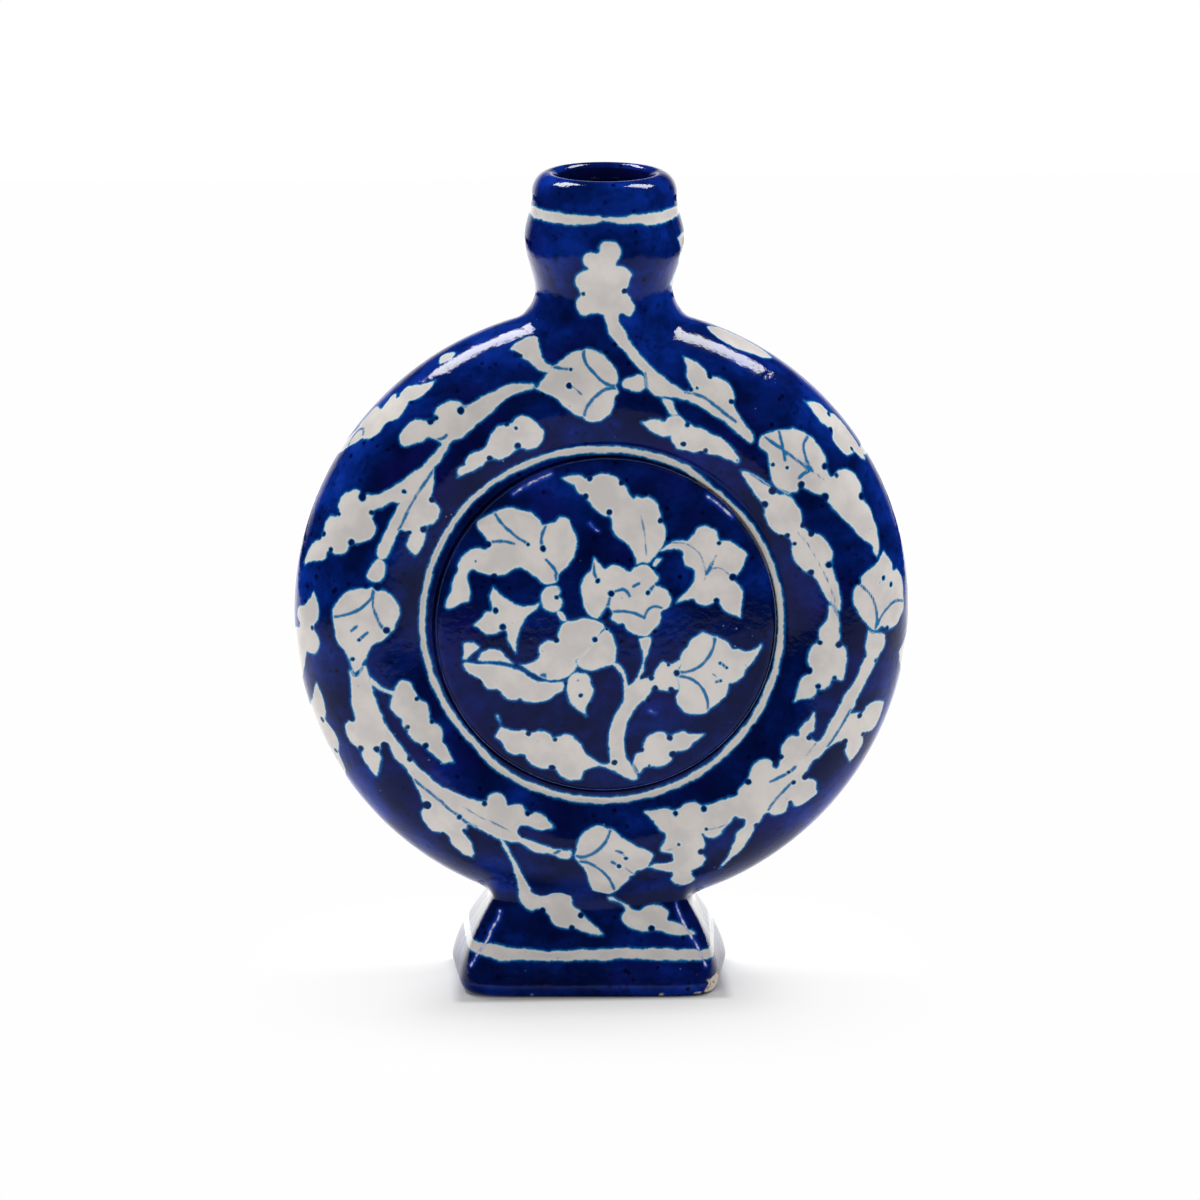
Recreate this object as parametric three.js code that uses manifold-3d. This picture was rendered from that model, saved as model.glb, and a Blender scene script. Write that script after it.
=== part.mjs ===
// A flat bottle vase, also called a moon flask, in glazed earthenware.
// Two moulded shells, two applied medallions, a thrown neck and a hollow foot are luted together with slip.
// Millimetres, +Z up, front face towards -Y, origin on the ground under the middle of the body.
import * as THREE from "three";
import { mergeVertices } from "three/addons/utils/BufferGeometryUtils.js";
import Module from "manifold-3d";

const wasm = await Module();
wasm.setup();

// Body: a round cushion-edged ring, filled in by a flat web behind each medallion
const BODY_DIAMETER = 166;
const UNDERSIDE_HEIGHT = 20.5; // from the ground to the lowest point of the body
const RING_WIDTH = 44; // radial width of the rounded ring
const RING_DEPTH = 42; // thickness of the body across the ring's crown
const WALL = 6; // clay thickness of the shells

// Medallions: domed discs that sit in a shallow recess inside the groove on each face
const MEDALLION_DIAMETER = 91;
const MEDALLION_THICKNESS = 6; // at the middle of the dome
const MEDALLION_DOME = 2; // rise of the dome from its edge to its middle
const MEDALLION_EDGE_ROUND = 1.6;
const GROOVE_DEPTH = 3.6; // from the ring's crown down to the groove round the medallion
const RECESS_DEPTH = 1.4; // from the groove's floor down to the medallion's seat

// Neck: thrown round, waisted at the shoulder, swelling below a rolled lip
const NECK_LENGTH = 35; // from the top of the body to the lip
const NECK_SHIFT = 0.6; // the neck stands this far to the right of the body's centre line
const WAIST_DIAMETER = 37.3;
const WAIST_RISE = 2.4; // above the top of the body
const BULGE_DIAMETER = 42.6;
const BULGE_RISE = 18; // above the top of the body
const LIP_DIAMETER = 38.4;
const LIP_ROUND = 3; // height of the rolled lip
const LIP_FLAT = 2; // width of the level top of the lip
const BORE_DIAMETER = 27;
const SKIRT_SPREAD = 6; // how far the neck's skirt flares sideways on the shoulder
const SKIRT_INSET = 1.2; // how far the skirt's foot stays inside the faces of the ring
const SKIRT_EDGE = 0.5; // thickness of the clay at the edge of the skirt

// Foot: a hollow oblong pedestal, flared to the ground and open underneath
const FOOT_WIDTH = 76; // at the ground
const FOOT_DEPTH = 40; // at the ground
const FOOT_TOP_WIDTH = 51;
const FOOT_TOP_DEPTH = 33;
const FOOT_HEIGHT = 26; // height of the flare
const FOOT_FULLNESS = 1; // below 1 the flare swells out towards the ground
const FOOT_SHIFT = -3.2; // the foot stands this far to the left of the body's centre line
const FOOT_WALL = 7;
const FOOT_EDGE_ROUND = 2.2; // round on the edge at the ground
const FOOT_SQUARENESS = 9; // power of the superellipse at the ground: 2 is an oval, more is squarer
const FOOT_TOP_SQUARENESS = 8;

// Luting slip that holds the pieces together
const SLIP = 0.5; // thickness of every slip joint
const FIT = 0.3; // gap left on each side of a curved slip joint, and round a medallion

// Fineness of the round forms
const TURN_STEPS = 44;
const ARC_STEPS = 7;
const FLARE_STEPS = 4;
const PASS = 2; // how far a cutting shape runs past what it cuts

// Sizes worked out from the ones above
const bodyRadius = BODY_DIAMETER / 2;
const centreHeight = UNDERSIDE_HEIGHT + bodyRadius; // of the body above the ground
const ringHalfWidth = RING_WIDTH / 2;
const ringHalfDepth = RING_DEPTH / 2;
const ringRadius = bodyRadius - ringHalfWidth; // centre line of the ring's rounded section
const grooveFloor = ringHalfDepth - GROOVE_DEPTH; // distances from the middle plane of the body
const medallionSeat = grooveFloor - RECESS_DEPTH;
const medallionRadius = MEDALLION_DIAMETER / 2;
const boreRadius = BORE_DIAMETER / 2;
const lipRadius = LIP_DIAMETER / 2;
const lipRoll = (lipRadius - boreRadius - LIP_FLAT) / 2; // radial width of each rounded side of the lip
const lipStart = NECK_LENGTH - LIP_ROUND;
const saddleGap = FIT + SLIP + FIT; // from the body's skin to the neck or the foot

// The three groups of the vase, and where the body's centre lies as seen from the other two
const NECK_PLACE = [NECK_SHIFT, 0, centreHeight + bodyRadius];
const FOOT_PLACE = [FOOT_SHIFT, 0, 0];
const centreFromNeck = [-NECK_SHIFT, 0, -bodyRadius];
const centreFromFoot = [-FOOT_SHIFT, 0, centreHeight];
const HERE = [0, 0, 0];

const FRONT = -1;
const BACK = 1;
const QUARTER = Math.PI / 2;

const glaze = () => new THREE.MeshStandardMaterial({ color: 0x14246f, roughness: 0.14, metalness: 0 });
const firedSlip = () => new THREE.MeshStandardMaterial({ color: 0xd8cdbf, roughness: 0.85, metalness: 0 });

// A closed surface as a solid that can be cut and joined.
function solidOf(geometry) {
  const bare = geometry.clone();
  bare.deleteAttribute("normal");
  bare.deleteAttribute("uv");
  const merged = mergeVertices(bare, 1e-4);
  const corners = merged.index.array;
  const kept = [];
  for (let i = 0; i < corners.length; i += 3) {
    const [a, b, c] = corners.slice(i, i + 3);
    if (a !== b && b !== c && c !== a) kept.push(a, b, c);
  }
  const vertProperties = merged.attributes.position.array;
  return new wasm.Manifold(new wasm.Mesh({ numProp: 3, vertProperties, triVerts: new Uint32Array(kept) }));
}

// A named mesh of a finished solid.
function piece(name, solid, material) {
  const made = solid.getMesh();
  const geometry = new THREE.BufferGeometry();
  geometry.setAttribute("position", new THREE.BufferAttribute(made.vertProperties, 3));
  geometry.setIndex(new THREE.BufferAttribute(made.triVerts, 1));
  geometry.computeVertexNormals();
  const mesh = new THREE.Mesh(geometry, material);
  mesh.name = name;
  return mesh;
}

// Points on an ellipse from one angle to another.
function arc([centreA, centreB], [radiusA, radiusB], from, to, steps) {
  const points = [];
  for (let i = 0; i <= steps; i += 1) {
    const turn = from + ((to - from) * i) / steps;
    points.push([centreA + radiusA * Math.cos(turn), centreB + radiusB * Math.sin(turn)]);
  }
  return points;
}

// A smooth step from 0 to 1 as share goes from 0 to 1.
const eased = (share) => (1 - Math.cos(Math.PI * share)) / 2;

// A solid turned about a front-to-back axis, from points of [radius, distance along Y] in rising order of Y
// on the outside. With side FRONT the distances run towards -Y.
function turnedAcross(points, side = BACK, centre = HERE) {
  const profile = points.map(([radius, along]) => new THREE.Vector2(radius, side * along));
  if (side === FRONT) profile.reverse();
  return solidOf(new THREE.LatheGeometry(profile, TURN_STEPS).translate(...centre));
}

// A solid turned about an upright axis, from points of [radius, height] in rising order of height.
function turnedUpright(points, foot = HERE) {
  const profile = points.map(([radius, height]) => new THREE.Vector2(radius, height));
  return solidOf(new THREE.LatheGeometry(profile, TURN_STEPS).rotateX(QUARTER).translate(...foot));
}

// A solid through rings about an upright axis, each a superellipse with its own half sizes and power.
// heightOf gives a ring's height at each place, so that a ring can lie level or drape over the body.
function lofted(rings) {
  const places = [];
  for (const { heightOf, halfWidth, halfDepth, power } of rings) {
    const round = (value) => Math.sign(value) * Math.abs(value) ** (2 / power);
    for (let i = 0; i < TURN_STEPS; i += 1) {
      const turn = (2 * Math.PI * i) / TURN_STEPS;
      const x = halfWidth * round(Math.cos(turn));
      const y = halfDepth * round(Math.sin(turn));
      places.push(x, y, heightOf(x, y));
    }
  }
  const last = rings.length - 1;
  places.push(0, 0, rings[0].heightOf(0, 0), 0, 0, rings[last].heightOf(0, 0));
  const bottomMiddle = rings.length * TURN_STEPS;
  const topMiddle = bottomMiddle + 1;
  const faces = [];
  for (let i = 0; i < TURN_STEPS; i += 1) {
    const next = (i + 1) % TURN_STEPS;
    faces.push(bottomMiddle, next, i);
    faces.push(topMiddle, last * TURN_STEPS + i, last * TURN_STEPS + next);
    for (let ring = 0; ring < last; ring += 1) {
      const low = ring * TURN_STEPS;
      const high = low + TURN_STEPS;
      faces.push(low + i, low + next, high + next, low + i, high + next, high + i);
    }
  }
  const geometry = new THREE.BufferGeometry();
  geometry.setAttribute("position", new THREE.Float32BufferAttribute(places, 3));
  return solidOf(geometry.setIndex(faces));
}

// The body with no hollow, grown by a margin: what the neck and the foot are fitted over.
function bodyBlock(margin, centre) {
  const half = ringHalfDepth + margin;
  const rim = arc([ringRadius, 0], [ringHalfWidth + margin, half], -QUARTER, QUARTER, 2 * ARC_STEPS);
  return turnedAcross([[0, -half], ...rim, [0, half]], BACK, centre);
}

// The passage from the mouth down into the body, given where the neck's own foot is.
function bore(neckFoot) {
  const mouth = arc([boreRadius + lipRoll, lipStart], [lipRoll, LIP_ROUND], Math.PI, QUARTER, FLARE_STEPS);
  const bottom = -ringHalfWidth;
  const top = NECK_LENGTH + PASS;
  return turnedUpright(
    [[0, bottom], [boreRadius, bottom], ...mouth, [boreRadius + lipRoll, top], [0, top]],
    neckFoot,
  );
}

const boreThroughBody = bore([NECK_SHIFT, 0, bodyRadius]);

// One half of the body: a moulded dish with a recess for its medallion and a level seam face.
function shell(side) {
  const skin = [ringHalfWidth, ringHalfDepth];
  const lining = [ringHalfWidth - WALL, ringHalfDepth - WALL];
  const webFace = medallionSeat - WALL;
  const seamFace = SLIP / 2;
  const angleAt = (distance, radii) => Math.asin(distance / radii[1]);
  const round = (radii, low, high, steps) =>
    arc([ringRadius, 0], radii, angleAt(low, radii), Math.PI - angleAt(high, radii), steps);
  const dish = [
    [0, webFace],
    ...round(lining, seamFace, webFace, ARC_STEPS).reverse(),
    ...round(skin, seamFace, grooveFloor, 2 * ARC_STEPS),
    [0, grooveFloor],
  ];
  return turnedAcross(dish, side).subtract(recess(side)).subtract(boreThroughBody);
}

// The pocket that a medallion and its bed of slip sit in, open to the front.
function recess(side) {
  const radius = medallionRadius + FIT;
  const open = medallionSeat + SLIP + MEDALLION_THICKNESS + PASS;
  return turnedAcross([[0, medallionSeat], [radius, medallionSeat], [radius, open], [0, open]], side);
}

// The ring of slip between the two shells, broken where the bore passes through it.
function seamRing() {
  const half = SLIP / 2;
  const reach = (inset) =>
    ringRadius + (ringHalfWidth - inset) * Math.sqrt(1 - (half / (ringHalfDepth - inset)) ** 2);
  const inner = reach(WALL);
  const outer = reach(0);
  const section = [[inner, -half], [outer, -half], [outer, half], [inner, half], [inner, -half]];
  return turnedAcross(section).subtract(boreThroughBody);
}

// The layer of slip under a medallion.
function medallionBed(side) {
  const top = medallionSeat + SLIP;
  const layer = [[0, medallionSeat], [medallionRadius, medallionSeat], [medallionRadius, top], [0, top]];
  return turnedAcross(layer, side);
}

// A domed disc with a flat back and a rounded edge.
function medallion(side) {
  const back = medallionSeat + SLIP;
  const shoulder = back + MEDALLION_THICKNESS - MEDALLION_DOME;
  const domeRadius = medallionRadius - MEDALLION_EDGE_ROUND;
  const edgeCentre = [domeRadius, shoulder - MEDALLION_EDGE_ROUND];
  const edge = arc(edgeCentre, [MEDALLION_EDGE_ROUND, MEDALLION_EDGE_ROUND], 0, QUARTER, FLARE_STEPS);
  const dome = arc([0, shoulder], [domeRadius, MEDALLION_DOME], 0, QUARTER, ARC_STEPS).slice(1, -1);
  const crown = [0, shoulder + MEDALLION_DOME];
  return turnedAcross([[0, back], [medallionRadius, back], ...edge, ...dome, crown], side);
}

// The height of the body's skin, grown by a margin, at a place in plan measured from the neck's axis.
function skinBelowNeck(x, y, margin) {
  const lean = Math.sqrt(Math.max(1 - (y / (ringHalfDepth + margin)) ** 2, 0));
  const reach = ringRadius + (ringHalfWidth + margin) * lean;
  return Math.sqrt(Math.max(reach ** 2 - (x + NECK_SHIFT) ** 2, 0)) - bodyRadius;
}

// The neck before it is fitted: a skirt draped on the shoulder, then waist, bulge and lip, bored through.
function neckBlock() {
  const waist = WAIST_DIAMETER / 2;
  const bulge = BULGE_DIAMETER / 2;
  const skirtFlare = ringHalfDepth - SKIRT_INSET - waist;
  const rings = [];
  const addSkirt = (share, heightOf) =>
    rings.push({
      heightOf,
      halfWidth: waist + SKIRT_SPREAD * share,
      halfDepth: waist + skirtFlare * share,
      power: 2,
    });
  const addRound = (height, radius) =>
    rings.push({ heightOf: () => height, halfWidth: radius, halfDepth: radius, power: 2 });
  addSkirt(1, () => -ringHalfWidth);
  for (const [share, sink] of arc([1, 0], [1, 1], QUARTER, Math.PI, FLARE_STEPS)) {
    const drape = (x, y) => skinBelowNeck(x, y, saddleGap + SKIRT_EDGE);
    addSkirt(share, (x, y) => WAIST_RISE + (drape(x, y) - WAIST_RISE) * sink);
  }
  for (let i = 1; i <= FLARE_STEPS; i += 1) {
    const share = i / FLARE_STEPS;
    addRound(WAIST_RISE + (BULGE_RISE - WAIST_RISE) * share, waist + (bulge - waist) * eased(share));
  }
  for (let i = 1; i <= FLARE_STEPS; i += 1) {
    const share = i / FLARE_STEPS;
    addRound(BULGE_RISE + (lipStart - BULGE_RISE) * share, bulge + (lipRadius - bulge) * eased(share));
  }
  const rolled = arc([lipRadius - lipRoll, lipStart], [lipRoll, LIP_ROUND], 0, QUARTER, FLARE_STEPS);
  for (const [radius, height] of rolled.slice(1)) addRound(height, radius);
  return lofted(rings).subtract(bore(HERE));
}

// A solid of the foot's flare, taken in all round by inset. Its top lies inside the body, to be cut to fit.
function footFlare(inset, heights) {
  const rings = [...heights, centreHeight - ringRadius].map((height) => {
    const share = Math.min(Math.max(height / FOOT_HEIGHT, 0), 1);
    const flare = Math.max(Math.cos(share * QUARTER), 0) ** FOOT_FULLNESS;
    const between = (top, ground) => top + (ground - top) * flare;
    const roundLeft = Math.min(Math.max(height, 0) / FOOT_EDGE_ROUND, 1) - 1;
    const tuck = inset > 0 ? inset : FOOT_EDGE_ROUND * (1 - Math.sqrt(1 - roundLeft ** 2));
    return {
      heightOf: () => height,
      halfWidth: between(FOOT_TOP_WIDTH, FOOT_WIDTH) / 2 - tuck,
      halfDepth: between(FOOT_TOP_DEPTH, FOOT_DEPTH) / 2 - tuck,
      power: between(FOOT_TOP_SQUARENESS, FOOT_SQUARENESS),
    };
  });
  return lofted(rings);
}

// The foot before it is fitted: the flare with a rounded ground edge, hollowed from below.
function footBlock() {
  const flareHeights = [];
  for (let i = 0; i <= ARC_STEPS; i += 1) {
    flareHeights.push(FOOT_EDGE_ROUND + ((FOOT_HEIGHT - FOOT_EDGE_ROUND) * i) / ARC_STEPS);
  }
  const edgeHeights = [];
  for (let i = 0; i < FLARE_STEPS; i += 1) {
    edgeHeights.push(FOOT_EDGE_ROUND * (1 - Math.cos((QUARTER * i) / FLARE_STEPS)));
  }
  const outside = footFlare(0, [...edgeHeights, ...flareHeights]);
  return outside.subtract(footFlare(FOOT_WALL, [-PASS, ...flareHeights]));
}

// What is left of a block above the body, and the layer of slip between the two.
const fitted = (block, centre) => block.subtract(bodyBlock(saddleGap, centre));
const saddle = (block, centre) =>
  block.intersect(bodyBlock(FIT + SLIP, centre)).subtract(bodyBlock(FIT, centre));

const body = new THREE.Group();
body.position.set(0, 0, centreHeight);
body.add(piece("body_seam_slip", seamRing(), firedSlip()));
for (const [face, side] of [["front", FRONT], ["back", BACK]]) {
  body.add(piece(`${face}_shell`, shell(side), glaze()));
  body.add(piece(`${face}_medallion_slip`, medallionBed(side), firedSlip()));
  body.add(piece(`${face}_medallion`, medallion(side), glaze()));
}

const neck = new THREE.Group();
neck.position.set(...NECK_PLACE);
const neckClay = neckBlock();
neck.add(piece("neck_joint_slip", saddle(neckClay, centreFromNeck), firedSlip()));
neck.add(piece("neck", fitted(neckClay, centreFromNeck), glaze()));

const foot = new THREE.Group();
foot.position.set(...FOOT_PLACE);
const footClay = footBlock();
foot.add(piece("foot_joint_slip", saddle(footClay, centreFromFoot), firedSlip()));
foot.add(piece("foot", fitted(footClay, centreFromFoot), glaze()));

const vase = new THREE.Group();
vase.name = "flat_bottle_vase";
vase.add(foot, body, neck);

export default vase;
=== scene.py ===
# %% [markdown]
# # A painted moon flask
# A moon flask is a flat, round bottle. The potter presses two shallow dishes, joins them at the rim, lays a
# raised medallion on each face, and sets a thrown neck and a hollow foot on the body. Then the whole vase
# is painted with dark cobalt, leaving a flower scroll in white, and glazed. This lesson dresses a measured
# model of such a vase: it takes the main sizes from the model, makes a fine skin for each clay piece, and
# paints that skin from brush outlines given in millimetres.

# %% Open the measured model
import math

import bpy
import bmesh
import numpy as np
from mathutils import Matrix, Vector


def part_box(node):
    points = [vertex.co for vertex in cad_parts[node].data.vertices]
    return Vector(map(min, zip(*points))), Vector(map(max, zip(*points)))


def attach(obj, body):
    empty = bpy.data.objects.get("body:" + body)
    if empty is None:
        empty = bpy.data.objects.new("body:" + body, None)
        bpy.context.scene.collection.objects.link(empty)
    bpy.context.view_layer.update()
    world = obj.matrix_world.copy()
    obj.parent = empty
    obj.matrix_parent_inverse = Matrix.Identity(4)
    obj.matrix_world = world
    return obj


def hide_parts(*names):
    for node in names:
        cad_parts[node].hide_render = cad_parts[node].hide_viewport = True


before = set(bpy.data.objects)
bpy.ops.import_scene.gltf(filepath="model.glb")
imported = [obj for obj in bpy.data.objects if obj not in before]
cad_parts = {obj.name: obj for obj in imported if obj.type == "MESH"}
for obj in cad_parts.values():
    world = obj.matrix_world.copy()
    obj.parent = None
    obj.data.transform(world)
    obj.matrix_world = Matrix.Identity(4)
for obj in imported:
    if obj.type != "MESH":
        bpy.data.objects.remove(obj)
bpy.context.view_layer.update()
MM = 0.001
print("clay pieces in the model:", len(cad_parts))

# %% [markdown]
# ## The camera
# The picture was taken with a long lens, a little above the vase and a touch to its left. The viewpoint is
# worked out from the vase itself: the ellipses of its lip and the ground line of its foot fix how high the
# camera stands, and the faces that show at each end of the foot fix how far it is to the side.

# %% Set up the camera
IMAGE_WIDTH = 1200
FOCAL_PIXELS = 4463.2
TURN_LEFT = math.radians(3.115)
LOOK_DOWN = math.radians(13.255)
AIM = Vector((-0.56, 0.0, 106.2)) * MM
DISTANCE = 1202.3 * MM

gaze = Vector((
    math.sin(TURN_LEFT) * math.cos(LOOK_DOWN),
    math.cos(TURN_LEFT) * math.cos(LOOK_DOWN),
    -math.sin(LOOK_DOWN),
))
camera = bpy.data.objects.new("camera", bpy.data.cameras.new("camera"))
camera.data.sensor_width = 36.0
camera.data.lens = FOCAL_PIXELS / IMAGE_WIDTH * camera.data.sensor_width
camera.location = AIM - DISTANCE * gaze
camera.rotation_mode = "QUATERNION"
camera.rotation_quaternion = gaze.to_track_quat("-Z", "Y")
bpy.context.scene.collection.objects.link(camera)
bpy.context.scene.camera = camera
bpy.context.scene.view_settings.view_transform = "Standard"
print("lens:", round(camera.data.lens, 1), "mm, from", round(DISTANCE, 3), "m away")

# %% [markdown]
# ## Colours and nodes
# Painters name colours, so every colour here is written as a hex code and turned into linear light
# by one function. Another function adds a shader node, sets it up and wires it in one call.

# %% Helpers for materials
def linear(code):
    """A hex colour as linear light."""
    shares = [int(code[i:i + 2], 16) / 255 for i in (1, 3, 5)]
    light = [s / 12.92 if s <= 0.04045 else ((s + 0.055) / 1.055) ** 2.4 for s in shares]
    return (*light, 1.0)


def grey(level):
    """A grey of so much linear light, above 1 where a lamp shines on it."""
    return (level, level, level, 1.0)


def add(tree, kind, inputs=None, stops=None, **settings):
    """A new node. An input is a value, or another node's output to link. Stops fill a colour ramp."""
    made = tree.nodes.new(kind)
    for name, value in settings.items():
        setattr(made, name, value)
    for name, value in (inputs or {}).items():
        if isinstance(value, bpy.types.NodeSocket):
            tree.links.new(value, made.inputs[name])
        else:
            made.inputs[name].default_value = value
    for i, (place, colour) in enumerate(stops or []):
        points = made.color_ramp.elements
        point = points[i] if i < 2 else points.new(place)
        point.position = place
        point.color = colour
    return made


def per_mm(size):
    """The scale of a pattern whose features are this many millimetres across."""
    return 1000.0 / size


print("cobalt in linear light:", [round(c, 3) for c in linear("#06205E")[:3]])

# %% [markdown]
# ## The studio
# A glossy glaze is a mirror for the room, so the room matters as much as the paint. The vase stands on a
# white sheet that fades into a white background. Two long soft boxes hang above it, to the left and the
# right, and draw the bright bands on the shoulders. Nothing bright stands behind the camera, which keeps the
# faces of the vase deep blue, and the sheet in front lends the down-facing parts a grey veil.

# %% Lay the sheet
SHEET_HALF = 1.6
PAPER_GRAIN = 3.0

sheet = bpy.data.objects.new("studio_sheet", bpy.data.meshes.new("studio_sheet"))
corners = [(-SHEET_HALF, -SHEET_HALF, 0), (SHEET_HALF, -SHEET_HALF, 0), (SHEET_HALF, SHEET_HALF, 0),
           (-SHEET_HALF, SHEET_HALF, 0)]
sheet.data.from_pydata(corners, [], [(0, 1, 2, 3)])
bpy.context.scene.collection.objects.link(sheet)
# Uncoated paper: matt and even, with a grain that only shows close up
paper = bpy.data.materials.new("white_paper_sheet")
paper.use_nodes = True
paper_nodes = paper.node_tree
rays = add(paper_nodes, "ShaderNodeLightPath").outputs
spot_on_sheet = add(paper_nodes, "ShaderNodeTexCoord").outputs["Object"]
grain = add(paper_nodes, "ShaderNodeTexNoise", {"Scale": per_mm(PAPER_GRAIN), "Detail": 4.0}).outputs["Fac"]
paper_bump = add(paper_nodes, "ShaderNodeBump", {"Height": grain, "Strength": 0.05, "Distance": 0.1 * MM})
matt = paper_nodes.nodes["Principled BSDF"]
matt.inputs["Base Color"].default_value = linear("#F3F3F3")
matt.inputs["Roughness"].default_value = 0.9
matt.inputs["Specular IOR Level"].default_value = 0.1
paper_nodes.links.new(paper_bump.outputs["Normal"], matt.inputs["Normal"])
print("sheet", 2 * SHEET_HALF, "m wide")

# %% [markdown]
# To the camera the sheet fades to white a few centimetres from the foot, so that only a thin shade is left
# under the vase. The fade starts at the rectangle on which the foot stands.

# %% Fade the sheet for the camera
STAND_MIDDLE = (-0.0035, 0.0, 0.0)
STAND_HALF = (0.035, 0.0186, 0.0)
NOUGHT = (0.0, 0.0, 0.0)
SHADE_REACH = 0.06
SHEET_FADE = ((0.01, 0.0), (0.06, 0.5), (0.3, 0.72), (1.0, 1.0))

off_stand = spot_on_sheet
for operation, amount in (("SUBTRACT", STAND_MIDDLE), ("ABSOLUTE", NOUGHT), ("SUBTRACT", STAND_HALF),
                          ("MAXIMUM", NOUGHT)):
    off_stand = add(paper_nodes, "ShaderNodeVectorMath", {0: off_stand, 1: amount},
                    operation=operation).outputs["Vector"]
stand_gap = add(paper_nodes, "ShaderNodeVectorMath", {0: off_stand}, operation="LENGTH").outputs["Value"]
stand_gap = add(paper_nodes, "ShaderNodeMapRange",
                {"Value": stand_gap, "From Max": SHADE_REACH}).outputs["Result"]
fade = add(paper_nodes, "ShaderNodeValToRGB", {"Fac": stand_gap},
           [(place, grey(level)) for place, level in SHEET_FADE]).outputs["Color"]
white_glow = add(paper_nodes, "ShaderNodeEmission", {"Color": linear("#FEFEFE"), "Strength": 1.0})
seen_sheet = add(paper_nodes, "ShaderNodeMixShader", {
    0: fade, 1: matt.outputs["BSDF"], 2: white_glow.outputs["Emission"]}).outputs["Shader"]
print("the shade ends", round(SHADE_REACH / MM), "mm from the foot")

# %% [markdown]
# A glossy glaze sees more of the sheet than the camera does. To the glaze the sheet is a glow whose
# brightness is painted in: brightest behind the vase, bright at its sides, and dim in front, where the sheet
# ends at the edge of the table. Close in front of the foot a painted shade stands for the vase's shadow, so
# the foot mirrors a dark strip there.

# %% Set what the glaze mirrors of the sheet
MIRROR_TONES = ((0.06, 0.14), (0.42, 0.22), (0.7, 0.4), (0.97, 1.0))
MIRROR_AT_FOOT = ((0.0, 0.05), (0.05, 0.2), (0.15, 0.9), (0.4, 2.1))
MIRROR_FAR = 2.1
TABLE_EDGE = (-0.47, -0.41)
SHEET_SIDES = (0.58, 0.42)
BESIDE_FOOT = (-0.018, -0.01)

heading = add(paper_nodes, "ShaderNodeVectorMath",
              {0: spot_on_sheet}, operation="NORMALIZE").outputs["Vector"]
backward = add(paper_nodes, "ShaderNodeSeparateXYZ", {"Vector": heading}).outputs["Y"]
sideways, forward, _ = add(paper_nodes, "ShaderNodeSeparateXYZ", {"Vector": spot_on_sheet}).outputs
sideways = add(paper_nodes, "ShaderNodeMath", {0: sideways}, operation="ABSOLUTE").outputs["Value"]
share = {}
for name, value, (start, end), easing in (
        ("round_vase", backward, (-1.0, 1.0), "LINEAR"), ("front", forward, TABLE_EDGE, "SMOOTHSTEP"),
        ("sides", sideways, SHEET_SIDES, "SMOOTHSTEP"), ("beside", forward, BESIDE_FOOT, "LINEAR")):
    share[name] = add(paper_nodes, "ShaderNodeMapRange", {"Value": value, "From Min": start, "From Max": end},
                      interpolation_type=easing).outputs["Result"]
tones, at_foot = (
    add(paper_nodes, "ShaderNodeValToRGB", {"Fac": value}, [(place, grey(level)) for place, level in stops])
    for value, stops in ((share["round_vase"], MIRROR_TONES), (stand_gap, MIRROR_AT_FOOT)))
brightness = add(paper_nodes, "ShaderNodeMix", {
    "Factor": share["beside"], "A": at_foot.outputs["Color"], "B": MIRROR_FAR}).outputs["Result"]
for name in ("front", "sides"):
    brightness = add(paper_nodes, "ShaderNodeMath", {0: brightness, 1: share[name]},
                     operation="MULTIPLY").outputs["Value"]
mirrored_sheet = add(paper_nodes, "ShaderNodeEmission",
                     {"Color": tones.outputs["Color"], "Strength": brightness})
in_glaze = add(paper_nodes, "ShaderNodeMixShader", {
    0: rays["Is Glossy Ray"], 1: matt.outputs["BSDF"],
    2: mirrored_sheet.outputs["Emission"]}).outputs["Shader"]
shown_sheet = add(paper_nodes, "ShaderNodeMixShader", {0: rays["Is Camera Ray"], 1: in_glaze, 2: seen_sheet})
paper_nodes.links.new(shown_sheet.outputs["Shader"], paper_nodes.nodes["Material Output"].inputs["Surface"])
sheet.data.materials.append(paper)
print("sheet nodes:", len(paper_nodes.nodes))

# %% [markdown]
# The room itself gives an even light. A mirror sees it differently: white straight behind the vase, where the
# background paper hangs, and almost black elsewhere, as a room is beyond the lamps.

# %% Light the room
ROOM_LIGHT = 0.54
PAPER_BEHIND = 1.2
PAPER_EDGE = (0.7, 0.95)
PAPER_TOP = (0.4, 0.05)
DARK_ROOM = 0.01

room = bpy.data.worlds.new("white_studio")
bpy.context.scene.world = room
room.use_nodes = True
room_nodes = room.node_tree
room_rays = add(room_nodes, "ShaderNodeLightPath").outputs
outlook = add(room_nodes, "ShaderNodeTexCoord").outputs["Generated"]
_, to_paper, upward = add(room_nodes, "ShaderNodeSeparateXYZ", {"Vector": outlook}).outputs
hung, low_down = (
    add(room_nodes, "ShaderNodeMapRange",
        {"Value": value, "From Min": start, "From Max": end, "To Max": most},
        interpolation_type="SMOOTHSTEP").outputs["Result"]
    for value, (start, end), most in ((to_paper, PAPER_EDGE, PAPER_BEHIND), (upward, PAPER_TOP, 1.0)))
in_mirror = add(room_nodes, "ShaderNodeMath", {0: hung, 1: low_down, 2: DARK_ROOM},
                operation="MULTIPLY_ADD").outputs["Value"]
lit = add(room_nodes, "ShaderNodeMix", {
    "Factor": room_rays["Is Glossy Ray"], "A": ROOM_LIGHT, "B": in_mirror}).outputs["Result"]
strength = add(room_nodes, "ShaderNodeMix", {
    "Factor": room_rays["Is Camera Ray"], "A": lit, "B": 1.0}).outputs["Result"]
background = room_nodes.nodes["Background"]
background.inputs["Color"].default_value = linear("#FFFFFF")
room_nodes.links.new(strength, background.inputs["Strength"])
print("room light:", ROOM_LIGHT)

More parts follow.
